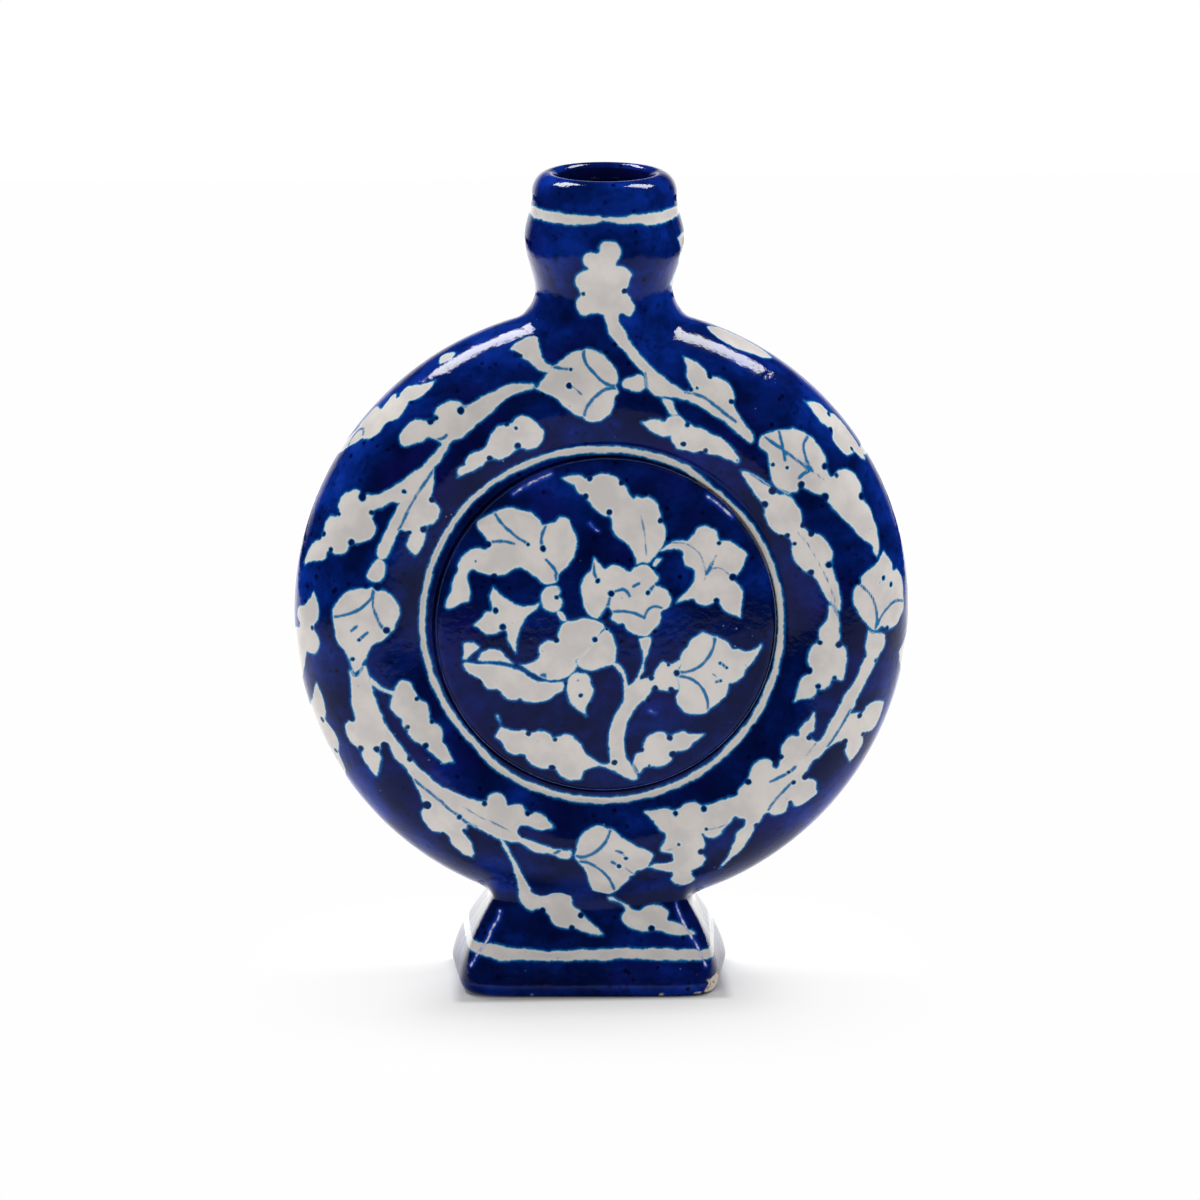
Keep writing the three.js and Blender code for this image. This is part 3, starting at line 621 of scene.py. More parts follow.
# %% The ring's drawing
RING_SHAPES = [
    # Left garland, from the flower down to the foot
    "-68.8,-11.2 -68.6,-14.4 -68.6,-19.1 -68.1,-22.6 -67.9,-24.6 -70,-26.2 -70.9,-27.9 -70.7,-29.9 "
    "-69.9,-32 -67.9,-33.2 -66.2,-34.4 -66.4,-35.6 -65.3,-38.2 -63.8,-40.5 -62.5,-41.7* -61.8,-39.9 "
    "-61.1,-37.3 -60.9,-35.2 -61.6,-34 -60.9,-32.6 -60.6,-31.7 -59.7,-31.1 -58.4,-31.7 -57.9,-33.5 "
    "-56.2,-35.8 -54.1,-37.9 -52.6,-40.2 -51.5,-42.6 -50.3,-45.2 -49.7,-47.3 -48.8,-49 -49.4,-50.1 "
    "-49.9,-51.4 -49.7,-53.5 -48.5,-55.5 -47.1,-57.2 -45.3,-57.3 -43.2,-57.3 -42.4,-58.2 -42.1,-60.5 "
    "-40.9,-62.3 -38.8,-64.1 -36.5,-64.8* -36.2,-62.6 -36.8,-59.9 -37.9,-57.9 -39.1,-57 -37.8,-55.5 "
    "-37.6,-54 -35.3,-55 -31.5,-57 -29.4,-58.2 -27.4,-58.7 -25.3,-59.1 -23.2,-59.4 -21.8,-60.6 "
    "-19.7,-61.9 -17.4,-62.4 -14.4,-62.8 -12.9,-63.5 -11.2,-64.2 -9.7,-63.8 -9.7,-62.1 -12.4,-61.8 "
    "-15.3,-61.1 -18.2,-60 -21.2,-58.7 -22.9,-57.9 -24.1,-56.8 -23.8,-55 -22.9,-54.5 -21.8,-54.7 "
    "-19.7,-55.4 -17.9,-56 -16.2,-55.9 -14.1,-55.4* -15.7,-53.8 -16.8,-52.4 -18.8,-51.6 -20.3,-51.8 "
    "-21.3,-51.4 -21.9,-50.3 -22.9,-49.1 -25,-49.1 -26.8,-49.5 -27.2,-47.9 -28.2,-46.4 -30.3,-45.8 "
    "-32,-46.7 -31.8,-47.6 -33.8,-48 -37.1,-47 -39.7,-46.1 -42.4,-44.6 -45.3,-42.9 -47.9,-40.5 "
    "-50.3,-38.5 -52.1,-36.4 -53.5,-34.6 -55,-32.3 -56.8,-29.9 -58.5,-27.6 -60.2,-24 -62.1,-18.5 "
    "-63.6,-14.4 -64.7,-9.6 -66,-11.4 -67.3,-13.1*",
    # Stem running down to the foot
    "-28.8,-58.2 -27.6,-61.1 -26.2,-64.4 -25.2,-67.5 -24.4,-71.5 -23.9,-75.3 -23.6,-79 -20.2,-79 "
    "-20.7,-75.6 -21.5,-73.5 -22.6,-70.6 -24.1,-66.5 -25.9,-62.9 -27.6,-59.4",
    # Bottom flower
    "-7.9,-61.8 -7.6,-59.4 -6.5,-57.4 -4.1,-55.8 -2.1,-55.3 0,-56.2 2.1,-56.6 3.5,-57.9 5.3,-59.4 "
    "7.6,-60.7 10.6,-62.1 12.8,-63.5* 12.1,-65.3 10.6,-67.4 8.2,-68.2 7.5,-69.5 6.5,-70 6.2,-71.2 "
    "4.7,-72.9 3.2,-74.7 2.8,-77 1.6,-79 -.2,-80 -.6,-79.4 -1.2,-77.6 -2.6,-75.9 -4.1,-73.2 -4.7,-70.6 "
    "-5.6,-67.6 -7.1,-65.7 -8.5,-63.5",
    # Right garland, from the flower down to the bottom
    "10.6,-51.8* 12.9,-51.3 15.9,-50.7 17.9,-51.1 20,-50.9 21.5,-49.7 23.8,-49.1 25.5,-49.9 27.6,-49.9 "
    "30.8,-48.7 33.8,-47.8 35.8,-47.2 36.1,-45.8 37.4,-44.3 38.8,-42.2 39.1,-40.5 40.2,-38.4 "
    "42.6,-37.1 44.6,-37.6 44.9,-39.3 45.8,-39.8 46.7,-39.3 47.3,-37.8 48.2,-36.9 47.3,-35.2 "
    "48.2,-32.8 49.6,-31.1 51.4,-30.9 52.3,-30.8 52.5,-29 53.8,-27.2 55.2,-26.1 56,-24.3* 56.1,-27.5 "
    "55.8,-29.3 54.6,-30.2 56.4,-32.2 57.9,-32.2 59.1,-30.5 59.9,-29 61.1,-26.4 62.6,-24 64.7,-19.6 "
    "66.5,-17.3 68.2,-13.8 69.7,-10.2 70.5,-8.5 70.1,-6.1 70.6,-3.8 70.9,-2 72.1,-2.6 74.1,-3.2 "
    "76,-3.9 76.4,-4.9 76,-7.3 74.7,-9.6 73.2,-11.4 72.6,-12.9 71.2,-15.5 69.4,-18.5 67.6,-21.4 "
    "67.6,-22.6 66,-25 67.1,-25.2 68.5,-25.2 70.6,-25.5 71.2,-24.4 72.9,-23.5 75.9,-23.5 78.3,-24.6 "
    "77.9,-27.5 77,-30.5 75.8,-31.9 74.1,-32.4 72.3,-31.9 71.4,-33.7 72,-34.9 71.4,-37.2 69.4,-39.3 "
    "68.3,-40.9* 67.3,-39.3 65.8,-37.2 65.5,-35.8 66.1,-34.6 63.8,-32.8 62,-33.4 60.2,-34.1 58.8,-35.5 "
    "58,-36.8 56.7,-37.5 55.5,-38.7 54.4,-40.8 53.5,-41.6 54.9,-43.4 56.1,-43.7 57.2,-44.6 57.6,-46.6 "
    "58,-48 57.6,-48.8 55.5,-50.2 53.2,-51.4 51.4,-51.1 51.1,-49.9 50.2,-49.4 49.6,-49.9 49.4,-51.4 "
    "48.8,-52.5 47.3,-53.3 45.5,-53.4 44.1,-52.2 42.9,-52.8 42,-54.6 40.5,-56.1 40.2,-57.2 39.1,-59.9 "
    "37.6,-62.8 36.1,-65.2 34.6,-66.1 31.6,-69.8* 33.8,-65.2 34.4,-62.8 35.1,-60.5 35.8,-57.8 "
    "37.6,-56.1 38,-54.6 37.4,-53.6 36.1,-53.7 35.5,-52.9 34.6,-53.1 33.5,-54.6 32,-56.4 30.5,-58.4 "
    "29.1,-59.3 27.6,-58.8 26.1,-58.4 26.7,-60.2 26.7,-61.6 25.8,-63.1 26.8,-64.7 27.1,-65.9 "
    "26.2,-67.6 24.7,-68.5 23.2,-69.1 23.5,-70.6 24.4,-72.6 23.8,-74.1 21.8,-74.4 19.4,-73.5 "
    "18.1,-72.1 18.5,-70.6 18.2,-69.1 16.5,-68.7 13.8,-67.9 11.8,-67.1* 13.2,-66.5 15.3,-66.4 "
    "17.9,-66.2 18.5,-65.3 18.2,-63.5 17.1,-62.9 15.6,-62.8 14.8,-62.1 15.3,-60.6 16.2,-58.8 "
    "15.9,-57.6 14.4,-56.8 13.8,-55.6 12.4,-53.8",
    # Right flower
    "72.9,-2.3 71.2,-.8 70.3,.5 69.1,1.5 67.6,3.9 66.8,5.6 66.5,7.4 66.9,9.8 67.6,10.6 68.8,10.9 "
    "68.8,12.7 70.3,14 72.4,15.4 73.8,16.2 75,17.4 76.4,19.1* 77.6,17.7 79.4,15.6 79.7,13.6 80.6,13 "
    "81.9,13.4 83.5,12.1 84.6,10.4 85.2,7.4 85.3,4.5 85,2.1 83.8,.4 81.8,-1.4 80,-2.3 77.9,-2.6 "
    "76.5,-1.7 75.3,-1.4",
    # Leaf below the long right leaf
    "60,5.4 59.7,3.3 59.1,.9 57.9,-.8 57.5,-2.6 57.6,-4.1 56.2,-5.5 55.2,-6.7 54.6,-8.5 54.6,-10.2 "
    "55,-11.7 55.4,-13.5 53.8,-14.1 52.5,-15.8 51.8,-18.5 50.8,-21.3* 52.9,-20.4 55.3,-19.9 56.5,-18.8 "
    "56.8,-17.3 57.9,-17.6 59.4,-17.4 60.6,-16.4 60.7,-15.2 62.6,-15.1 63.8,-15.4 64.4,-13.2 "
    "64.7,-10.2 64.7,-7.6 64.1,-6.1 63.2,-5.5 62.1,-4.4 62.6,-3.8 62.8,-1.4 62.4,1.5 61.5,4.2",
    # Long right leaf
    "35.9,42.4* 37.9,42.1 39.6,41.2 42.3,39.4 43.2,38.5 45.5,36.2 47.5,35.9 49.4,35.3 50.5,33.5 "
    "51.7,31.2 52.3,29.1 52,27.6 53.2,26.5 54,25.8 55.8,25.1 57.6,24.5 59.7,21.8 60.6,19.2 60.3,17.4 "
    "60.5,15.6 61.5,12.7 62.4,9.2 62.8,6.2 62.6,4 61.2,5.4 60.3,6.2 59.1,8 57.4,10.9 55.8,13.6 "
    "53.8,14.6 52.4,15.5 50.9,17.4 49.9,19.8 49.9,21.5 49.4,23.6 47.3,24.7 45.2,25.3 43.5,27.4 "
    "42.6,29.4 42.3,31.5 41.1,34.4 40.2,35.3 38.5,37.9 36.7,40.6",
    # Upper right flower and its leaf
    "40.8,49.4 41.1,51.2 42.3,52.1 44.6,52.9 46.1,53.2 48.5,53.2 50.8,53.5 53.2,52.6 54.4,51.7 "
    "55.8,50.9 57.3,48.8 58.8,46.5 59.4,45 58.9,43.4 59.4,41.8 60.2,40.3 61.5,40.4 63.2,41.8 65.8,42.1 "
    "68.2,40.9 69.6,38.8 70.2,36.8 69.9,35.6 70.8,33.2 72.3,31.2 73.5,28.2 74.4,25.3 74.7,22.7 "
    "74.6,19.8 73.8,18* 72.6,19.2 72.6,20.6 71.8,21.5 70.3,22.4 69.1,23.5 66.7,25.9 64.4,28.2 62.6,30 "
    "61.1,31.5 59.6,33.5 58.6,35 57.3,35.6 54.9,36.5 53.2,37.6 51.4,37.9 50.8,36.8 49.4,36.8 48.8,36.2 "
    "47.3,36.8 45.5,38.2 44.4,40 43.8,42.6 43.2,44.7 43.3,46.2 42.3,47.9",
    # Upper right leaf on the rim
    "55.2,61.8* 57.3,61.5 59.6,61.8 62,60.9 63.2,59.7 64.4,59.1 66.7,58.8 69.1,56.8 71.4,53.5 "
    "73.2,50.6 74.9,47.1 75.2,45.3* 73.8,45.3 71.7,46.5 70.2,47.9 68.8,46.8 66.7,46.5 64.9,47.4 "
    "63.5,49.4 62.6,51.2 63.2,52.6 61.1,54.7 59.6,55.6 58.5,57.4 57.3,59.4",
    # Top right leaf on the rim
    "31,83 34.4,79.1 37.3,77.4 40.2,76.5 43.2,75.9 46,75.5 50,76.5* 46,81 40,85 35,87 31,86",
    # Inner right leaf
    "9.3,55.9* 11.2,56.5 13.5,56.6 15.6,55.9 17.1,57.4 19.1,57.5 20.6,56.5 22.6,55 24.9,54.1 27.9,52.6 "
    "30.8,51.2 32.6,49.4 34.6,47.1 35.4,45.1* 34.6,44.7 32.6,45.6 30.2,46.5 27.6,47.1 25.2,48.2 "
    "23.5,47.3 21.8,47.9 19.7,48.2 18.8,48.5 17.5,50.6 17.1,52.2 15.6,51.8 13.5,52.4 11.2,54.1",
    # Its stalk
    "14.7,62.2 15.9,60 16.8,58.4 18.9,57.9 17.9,59.7 17.4,61.8",
    # Stem from the neck and the upper right leaf
    "-.3,90 0,85.3 1.2,81.8 2.9,78.2 5.3,74.7 7.6,71.8 9.7,69.7 10.6,67.2 11.2,64.7 13.5,63.2 "
    "16.5,62.6 18.8,62.4 21.2,61.8 24.9,60 27.9,58.2 30.8,56.5 32.9,54.7 35.5,52.4 38.5,50* 39.1,50.6 "
    "38.8,52.4 36.7,54.7 35.2,57.4 34.1,59.4 33.6,61 34.1,62.1 34.1,63.2 32.9,65.6 30.8,67.4 28.8,67.9 "
    "27,68.2 26.4,70 24.4,72.1 21.1,73.5* 21.6,70 21.5,68.5 22.4,66.5 22.9,65.3 22,64 20,64.4 "
    "17.1,66.2 15.6,67.4 12.9,69.7 10.6,72.1 8.2,75.3 6.5,78.8 5.3,82.4 3.8,85.6 4.4,90",
    # Top bud
    "4.4,66.5 5.3,67.5 7.6,68.2 9.1,68.5 10.2,67.4 10.3,65.6 8.8,64.4 6.5,64.7 4.7,65.3",
    # Top flower
    "-18.5,65.3* -15.6,69.4 -14.4,70.9 -12.9,71.8 -11.2,73.2 -9.1,74.7 -7.4,75.3 -5.6,75.8 -3.5,75 "
    "-1.2,74.1 .6,72.4 2.1,70.6 2.9,68.8 2.9,67.1 2.3,65.8 2.9,64.4 2.1,61.8 1.5,59.4 0,57.6 -2.4,56.2 "
    "-5.3,56.5 -5.9,57.6 -7.4,57.8 -9.4,59.1 -11.8,61.2 -13.5,62.9 -15.9,64.1",
    # Stem over the left shoulder
    "-18.3,79 -17.9,77.1 -17.4,74.1 -16.2,72.1 -14.6,71.2 -15.6,69.5 -18.2,70.7 -20.3,72.4 -22.1,73.8 "
    "-24.4,76.2 -25.6,76.5 -24,78.5 -21,80.2 -18.7,80.3",
    # Upper left garland
    "-19.2,66.4 -22.9,66.4 -26.5,65.9 -30.6,64.1 -33.8,62.4 -36.2,60.9 -37.6,60.8 -38.8,61.8 "
    "-40.6,62.2 -42.6,61.6 -44.7,60.6 -45.9,58.8 -45.6,57.1 -48.2,56.6 -50,57.1 -52.1,56.5 -54.1,54.7 "
    "-55.4,52.8 -55,51.5 -54.4,50.3 -52.4,50.1 -49.7,50.9 -47.9,52.1 -46.5,52.4 -44.5,51.3 -43.8,50.3 "
    "-45.9,47.9 -48.2,45.3 -51.2,42.9 -54.1,40.6 -56.5,39.1 -60,37.1 -62.9,36.5 -64.1,36.8 -65.3,35 "
    "-66.2,36.8 -66.4,37.8 -67.6,38.1 -69.4,37.5 -71.5,36.5 -72.6,35 -73.2,33.2 -72.2,32.1 -73.2,30.4 "
    "-75,30.6 -76.5,29.7 -77.4,28.2 -77.8,26.5 -78.3,24 -80.4,23.6 -82.4,22.1 -84.2,19.8 -85.1,18 "
    "-84.9,16.5* -83,17.5 -80.4,18 -77.4,18.6 -76.1,19.5 -75.6,21.2 -73,20.6 -71.2,20.6 -69.5,21.5 "
    "-68.9,23 -66.5,24 -64.2,24.5 -62.4,25.6 -61.2,27.9 -62.4,30 -62.4,30.9 -61.8,32.9 -60.6,33.2 "
    "-58.8,34.1 -56.8,35.3 -55.3,34.9 -55,34.4 -56.5,31.2 -58.2,28.2 -59.7,25 -60.9,22.1 -60.9,20.3 "
    "-59.4,19.6 -58,21.5 -56.8,24.5 -55.3,27.6 -54.1,27.8 -53.2,27.4 -52.1,26.8 -52.4,25.1 -53,23.6 "
    "-52.1,21.8 -51.1,20.1* -49.8,21.5 -48.4,23.9 -48.2,25.9 -47.4,28.5 -45.9,29.1 -44.7,30.6 "
    "-44.5,32.9 -45.6,34.7 -46.6,36.5 -46.2,38.5 -46,41.2 -45.9,44.1 -44.7,45.3 -42.9,48.2 -41.8,50 "
    "-41.2,51.2 -40,51.8 -38.2,52.6 -35.9,54.4 -32.9,57.1 -30,59.4 -27.1,62.4 -24.1,64.1 -20.3,65.2 "
    "-19.1,65.3",
    # Upper left leaf on the rim
    "-46.5,68.4* -48.8,67.9 -51.2,67.5 -53.8,67.9 -55.9,67.6 -57.4,66.2 -57.9,64.8 -58.8,64.4 "
    "-59.7,66.1 -61.5,65.3 -62.6,63.5 -63.5,61.9 -64.6,62.1 -65.6,62.8 -67.4,63.2 -68.8,62.1 "
    "-70.3,60.3 -71.8,58.5 -73.2,56.5 -76.5,55 -80,53.8 -84,55 -87,57.5 -88.5,60* -86,53 -82,50.5 "
    "-77,50 -74.1,51.2 -72.4,51.3 -70.3,51.8 -68.2,53.2 -67.1,52.5 -65,52.5 -62.6,53.5 -61.3,55 "
    "-60.9,56.2 -60,57.2 -57.9,57.4 -56.2,58.2 -54.7,60.6 -54.1,62.8 -51.8,63.1 -49.7,64.4 -47.9,66.2",
    # Leaf tip over the top left rim
    "-47.1,77.4 -44.7,78.4 -42.5,77.9 -42.8,76.2 -44.7,74.8 -46.8,74.6",
    # Inner left leaf
    "-39.5,41.8* -39.4,43.8 -37.4,44.7 -37.2,46.2 -35.6,48.2 -33.5,48.8 -32.1,49.7 -31.2,51.5 "
    "-30.3,53.5 -29.1,55 -27.6,55.4 -25,56.2 -24.1,57.6 -21.8,58.1 -19.7,57.4 -18.8,56.2 -17.9,55 "
    "-16.8,53.5 -17.1,51.2 -18.5,49.1 -20.6,48.5 -22.4,49.1 -24.4,48.2 -25.9,47.1 -28.2,46.2 -30,46.5 "
    "-32.1,45.9 -32.9,44.7 -35,43.5 -37.6,42.6",
    # Left flower
    "-73.6,4.8 -73.3,5.9 -72.1,7.4 -70.6,9.2 -68.6,10.9 -65.9,11.6 -63.9,11.2 -62.7,11.8 -61.5,11 "
    "-59.8,11.1 -57.7,9.5 -56.2,7.7 -55.5,5.9 -55.6,3.9 -56.4,2.1 -56.9,.1 -57.7,-.4 -58.3,-1.1 "
    "-60.1,-2.3 -62.7,-3.8 -63.3,-5.2 -64.8,-7.9 -66.2,-10.2 -67.3,-11.4* -68.3,-10.2 -69.1,-7.9 "
    "-70.1,-5.5 -71.8,-3.8 -72.7,-1.4 -73.2,1.5",
    # Left bud
    "-60.4,19.8 -59.2,18.3 -59.2,15.9 -60.1,13.9 -61.8,13.6 -63.3,13.9 -63.9,14.8 -63.3,16.8 "
    "-62.1,18.6",
    # Lower left inner leaf
    "-56.8,-17.3 -56.5,-15.5 -54.8,-14.1 -53,-14.8 -51.8,-16.7 -50.9,-18.2 -49.8,-19.8 -48,-20.8 "
    "-47.4,-23.2 -47.4,-24.6 -46.2,-26.1 -45.3,-26.4 -44.1,-27.9 -44,-29.6 -44.4,-31.1 -43.2,-32.6 "
    "-42.1,-34.9 -41.1,-37* -42.4,-36.8 -44.1,-37 -46.2,-34.9 -47.9,-33.2 -50,-31.1 -51.8,-30.2 "
    "-53.2,-28.5 -52.9,-27.6 -54.7,-26.1 -55.1,-24.4 -56.8,-22.9 -58,-20.8 -57.7,-18.5",
    # Its stalk
    "-64.7,-9.6 -63.7,-12.4 -61.5,-14.5 -59,-16.3 -56.8,-16.9 -57,-17.7 -59.2,-17.2 -61.8,-15.4 "
    "-64,-13",
    # Left leaf on the rim
    "-80.2,9.5* -78.9,7.4 -78.4,4.5 -78.9,1.8 -80.1,.1 -79.8,-1.4 -78.4,-3.2 -78.3,-5.5 -79.2,-7.6 "
    "-81.2,-8.4 -83.3,-8.2 -84,-9.1 -85.1,-12 -86.8,-15.2 -89.2,-17.9 -92.1,-19.4 -95,-20.2 -99,-20 "
    "-103,-17.5 -106,-13.5* -102,-8.5 -98,-5.5 -95,-5.2 -92.1,-3.8 -89.8,-2.5 -88,-2.1 -87.1,-1.7 "
    "-87.1,-.2 -88.3,.8 -88.6,2.1 -87.7,3.6 -86.2,4.5 -84.8,4.8 -83.3,5.8 -81.5,7.7",
    # Lower left leaf on the rim
    "-80.2,-16.6* -78.9,-19.1 -77.7,-22.6 -77.7,-25.5 -78.6,-27.4 -77.1,-29.2 -75,-31.1 -74.2,-33.8 "
    "-74.7,-36.1 -75,-38.8 -74.1,-42 -74.6,-45 -77,-49 -80.5,-51* -82,-46 -86,-42 -89,-37 -90,-33 "
    "-88,-29 -86.5,-26.5 -84,-23.3 -82.4,-21.4 -81.2,-18.5",
]
RING_DOTS = (
    "-68.9,-24.9,1.1 -66.6,-33.5,1 -61.9,-33.2,1 -59.7,-32,1.2 -48.5,-48.9,1.3 -52.9,-35.6,.8 "
    "-32.9,-48.5,.9 -21.3,-51.6,.7 -22.6,-57.4,.8 -44.3,-57.8,.8 -38.4,-56.2,.7 -39.7,-52.1,.7 "
    "5.3,-64.4,.6 3.5,-66.8,.7 18.9,-52.1,.8 26.5,-50.8,.9 38.5,-43.4,1 45.8,-38.4,.9 47.4,-36.5,.8 "
    "54.8,-31.2,.8 65.2,-33.4,1.1 71.3,-32.5,.8 69.4,-26.4,.9 73.5,-10.8,.6 70,-9.1,.6 25.8,-63.1,1 "
    "26.2,-58.1,.5 27.2,-56.5,.6 40.8,-55.8,.6 50.2,-49.8,.7 54.1,-42.5,1.1 49.4,-40.8,.6 "
    "50.8,-43.9,.8 19.7,-60.7,.6 75.8,11.9,.7 74.5,10.8,.4 78.8,9.6,.7 77.2,-2.3,.8 57.6,-4.9,.8 "
    "54.6,-12.6,1 57.2,-17,.8 61.6,-14.6,.6 62.5,-5.4,1 44.4,37.1,1.2 42.3,33.2,1 48.6,24.6,.8 "
    "50.5,22.4,.7 52.6,27.6,.8 54.9,25.2,1 55,14.5,.9 59.7,16.6,.9 48.2,43.3,.6 44.4,44.1,.7 "
    "58.9,43.2,1 62.3,40.6,.8 52,38.6,1.1 58.6,35,1.2 69.9,34.7,1.1 63.8,58.5,.8 69.4,48.2,.8 "
    "62.6,53.4,.9 21.6,55.2,.7 20.5,49.7,.9 26.5,48,.8 27.8,67.9,.8 33.3,61.1,.8 22.5,64.6,.8 "
    "24.1,65,.5 -9.4,70.2,.6 -9.9,66,.9 3.5,62.4,1.4 -24.1,74.7,1 -22.9,74.4,.8 -46.8,56.5,1 "
    "-45.3,57.5,.7 -38.6,59.4,1.1 -65.3,36.2,1.2 -72.5,31.3,.7 -77.3,25.6,.8 -74.5,21.5,.9 "
    "-68.2,23.9,1 -62.6,32.1,.8 -53.8,37.9,.7 -46.5,35.6,.9 -48.7,27.5,1 -54.1,26.1,1.1 -52.6,26.8,.8 "
    "-26.4,55.8,.7 -31,46.6,.9 -23.5,49.9,.9 -24,54.8,.6 -68,-7.9,.6 -58.9,.1,1 -64.2,12.4,.7 "
    "-61.2,12.1,1.1 -66.2,-2.5,.5 -50.9,-19.2,.7 -53.5,-26.7,.8 -48.8,-32,1 -46.9,-25.6,.7 "
    "-80.8,-.8,.7 -87.4,-.8,.7 -79.9,-28.3,.9 -76.3,-37.6,.8"
)
RING_VEINS = [
    "-51.8,-41.7 -48.2,-44.6 -45,-47.3 -42.4,-49.9 -40,-51.7 -37.6,-53.8 -35.3,-55",
    "-14.2,-62.8 -12.4,-61.6",
    "1.2,-56.5 .3,-58.8 -.9,-60.6 -2.6,-62.2 -4.7,-63.4 -7.1,-63.8 -9.5,-63.2",
    "-7.1,-65.3 -4.7,-65.6 -2.1,-67.4 0,-69.4 1.5,-72.1 2.4,-75.3 2.4,-77.6",
    "2.6,-62.2 4.4,-62.8",
    "1.5,-65.3 3.5,-66.8",
    "44.1,-51.6 45.5,-49.3 47.9,-46.4 50.5,-43.7",
    "44.4,-43.4 47,-42.2 49.6,-40.8 51.2,-39.4",
    "66.4,-24 64.4,-27.5 62.6,-30.5 60.2,-34",
    "70.9,-1.4 72.1,-2.6 74.1,-2.9 76.5,-3.5",
    "67.9,11.2 69.4,9.8 71.5,7.7 72.9,4.8 73.6,1.5 73.2,-2",
    "85.3,3.9 83.5,4.4 81.2,4.8 78.8,4.2 76.5,2.8 74.7,.9 73.8,-.8",
    "60,6.2 61.5,4.5 62.6,2.1 63.2,-.8 63.8,-4.4",
    "63.8,-15.5 63.7,-17.6",
    "42.3,51.5 45.5,49.1 49.1,46.5 52.6,43.8 55.2,42.1",
    "46.1,53.2 46.7,50.6 47.3,47.1 47.6,45.3",
    "54.4,51.5 53.2,49.7 52.9,47.9 53.5,45.3 54.4,43.2 55.2,42.1",
    "51.4,40.3 52.6,41.5 54.4,42.1",
    "35,45.3 37.9,42.4 42,39.4 45.5,37.6 48.8,36.2",
    "10.2,69 10.5,67 10.6,65",
    "20.9,64.1 25.5,62.6 29.1,60 31.7,57.9 34.5,55.8",
    "21.1,73.5 20,75",
    "-14.4,71.2 -12.4,70.6 -9.7,70.2",
    "-6.5,75 -5.9,72.9 -4.7,70.9 -2.9,68.8 -1.2,67.1 1.2,65.9 2.9,65.8",
    "2.6,65.3 0,65 -2.4,63.5 -4.1,61.8 -5.3,60 -5.9,57.9",
    "-36.5,61.3 -37.5,60.8 -38.6,59.6",
    "-42.4,53 -43.2,52.2 -45,51.7",
    "-44.7,45 -46.8,42.4 -48.8,39.4 -50.6,36.8 -52.4,33.5 -54.1,30 -55.3,27.6",
    "-62.1,11.5 -62.7,9.2 -64.2,7.4 -66.8,5.4 -69.8,4.2 -73,3.4",
    "-62.4,9.2 -62.4,6.8 -61.5,3.9 -60.4,1.5 -59.2,.2",
    "-69.2,-8.2 -68.3,-11.1 -67.3,-12.6 -65.9,-11.1 -64.8,-8.5",
    "-68.3,-.2 -66.8,1.2",
    "-66.2,-2.5 -64,-.5",
    "-80.9,9.5 -81.2,11.2 -79.2,12.7",
    "-62.5,-41.7 -61.8,-42.9",
    "68.3,-40.9 69.1,-42.5",
    "-74,50.5 -74,53 -72.8,55.2 -70.5,56.3 -68.8,55.6 -68.3,54",
    "-19.7,58 -17,59.8 -14.7,61.5",
    "-18.3,66.6 -19.3,65",
]
RING_FAINT = [
    "-38.8,-49.1 -35.3,-51.4 -31.2,-53.5 -25.9,-56.4",
    "4.4,-62.8 5.3,-64.4",
    "5.3,-67.4 7.6,-69.4",
    "54.1,-36.4 56.7,-32.8",
    "27,-56.6 30,-56.2 33.8,-54.9",
    "16.2,-62.4 19.4,-61.2",
    "51.2,25.6 54.1,22.1 57.1,16.8 60,10.9 61.8,5.6",
    "-9.5,66 -8.8,65.6 -6.5,63.5",
    "55.2,42.1 58.5,39.4",
]
CIRCLE_ANGLES = [0, 31, 43, 53, 62, 90, 135, 180, 207, 222, 234, 270, 305, 315, 326]
CIRCLE_RADII = [46.7, 46.4, 46.0, 45.9, 47.2, 47.5, 49.5, 48.8, 47.8, 47.4, 48.5, 48.4, 48.2, 47.7, 47.6]
CIRCLE_HALF = 0.8
RIM_TURN, RIM_SPAN = 0.45, 0.75


def ring_drawing(points):
    """What is painted at points of the ring, from the front drawing and the back one."""
    painted = None
    for seen in (points, other_side(points)):
        flat = unroll(seen)
        drawing = draw(flat, RING_SHAPES, RING_DOTS, RING_VEINS, RING_FAINT)
        angle = np.degrees(np.arctan2(flat[:, 1], flat[:, 0]))
        wander = np.interp(angle, CIRCLE_ANGLES, CIRCLE_RADII, period=360)
        circle = CIRCLE_HALF - np.abs(np.hypot(*flat.T) - wander)
        drawing["white"] = np.maximum(drawing["white"], np.maximum(circle, OUTSIDE))
        painted = overlaid(painted, drawing) if painted else drawing
    radius = np.hypot(points[:, 0], points[:, 2] - CENTRE)
    turn = np.arctan2((radius - RING_RADIUS) / RING_WIDTH, np.abs(points[:, 1]) / RING_DEPTH)
    painted["thin_glaze_and_painted_light"] = np.clip((turn - RIM_TURN) / RIM_SPAN, 0, 1)
    return painted


print("white shapes on a ring:", len(RING_SHAPES))

# %% [markdown]
# ## The neck and the foot
# The neck carries one lobed leaf on each face, with a stem that climbs from the flower below, and a leaf on
# each side. The foot carries two leaf tips and a white line brushed all round it near the ground.

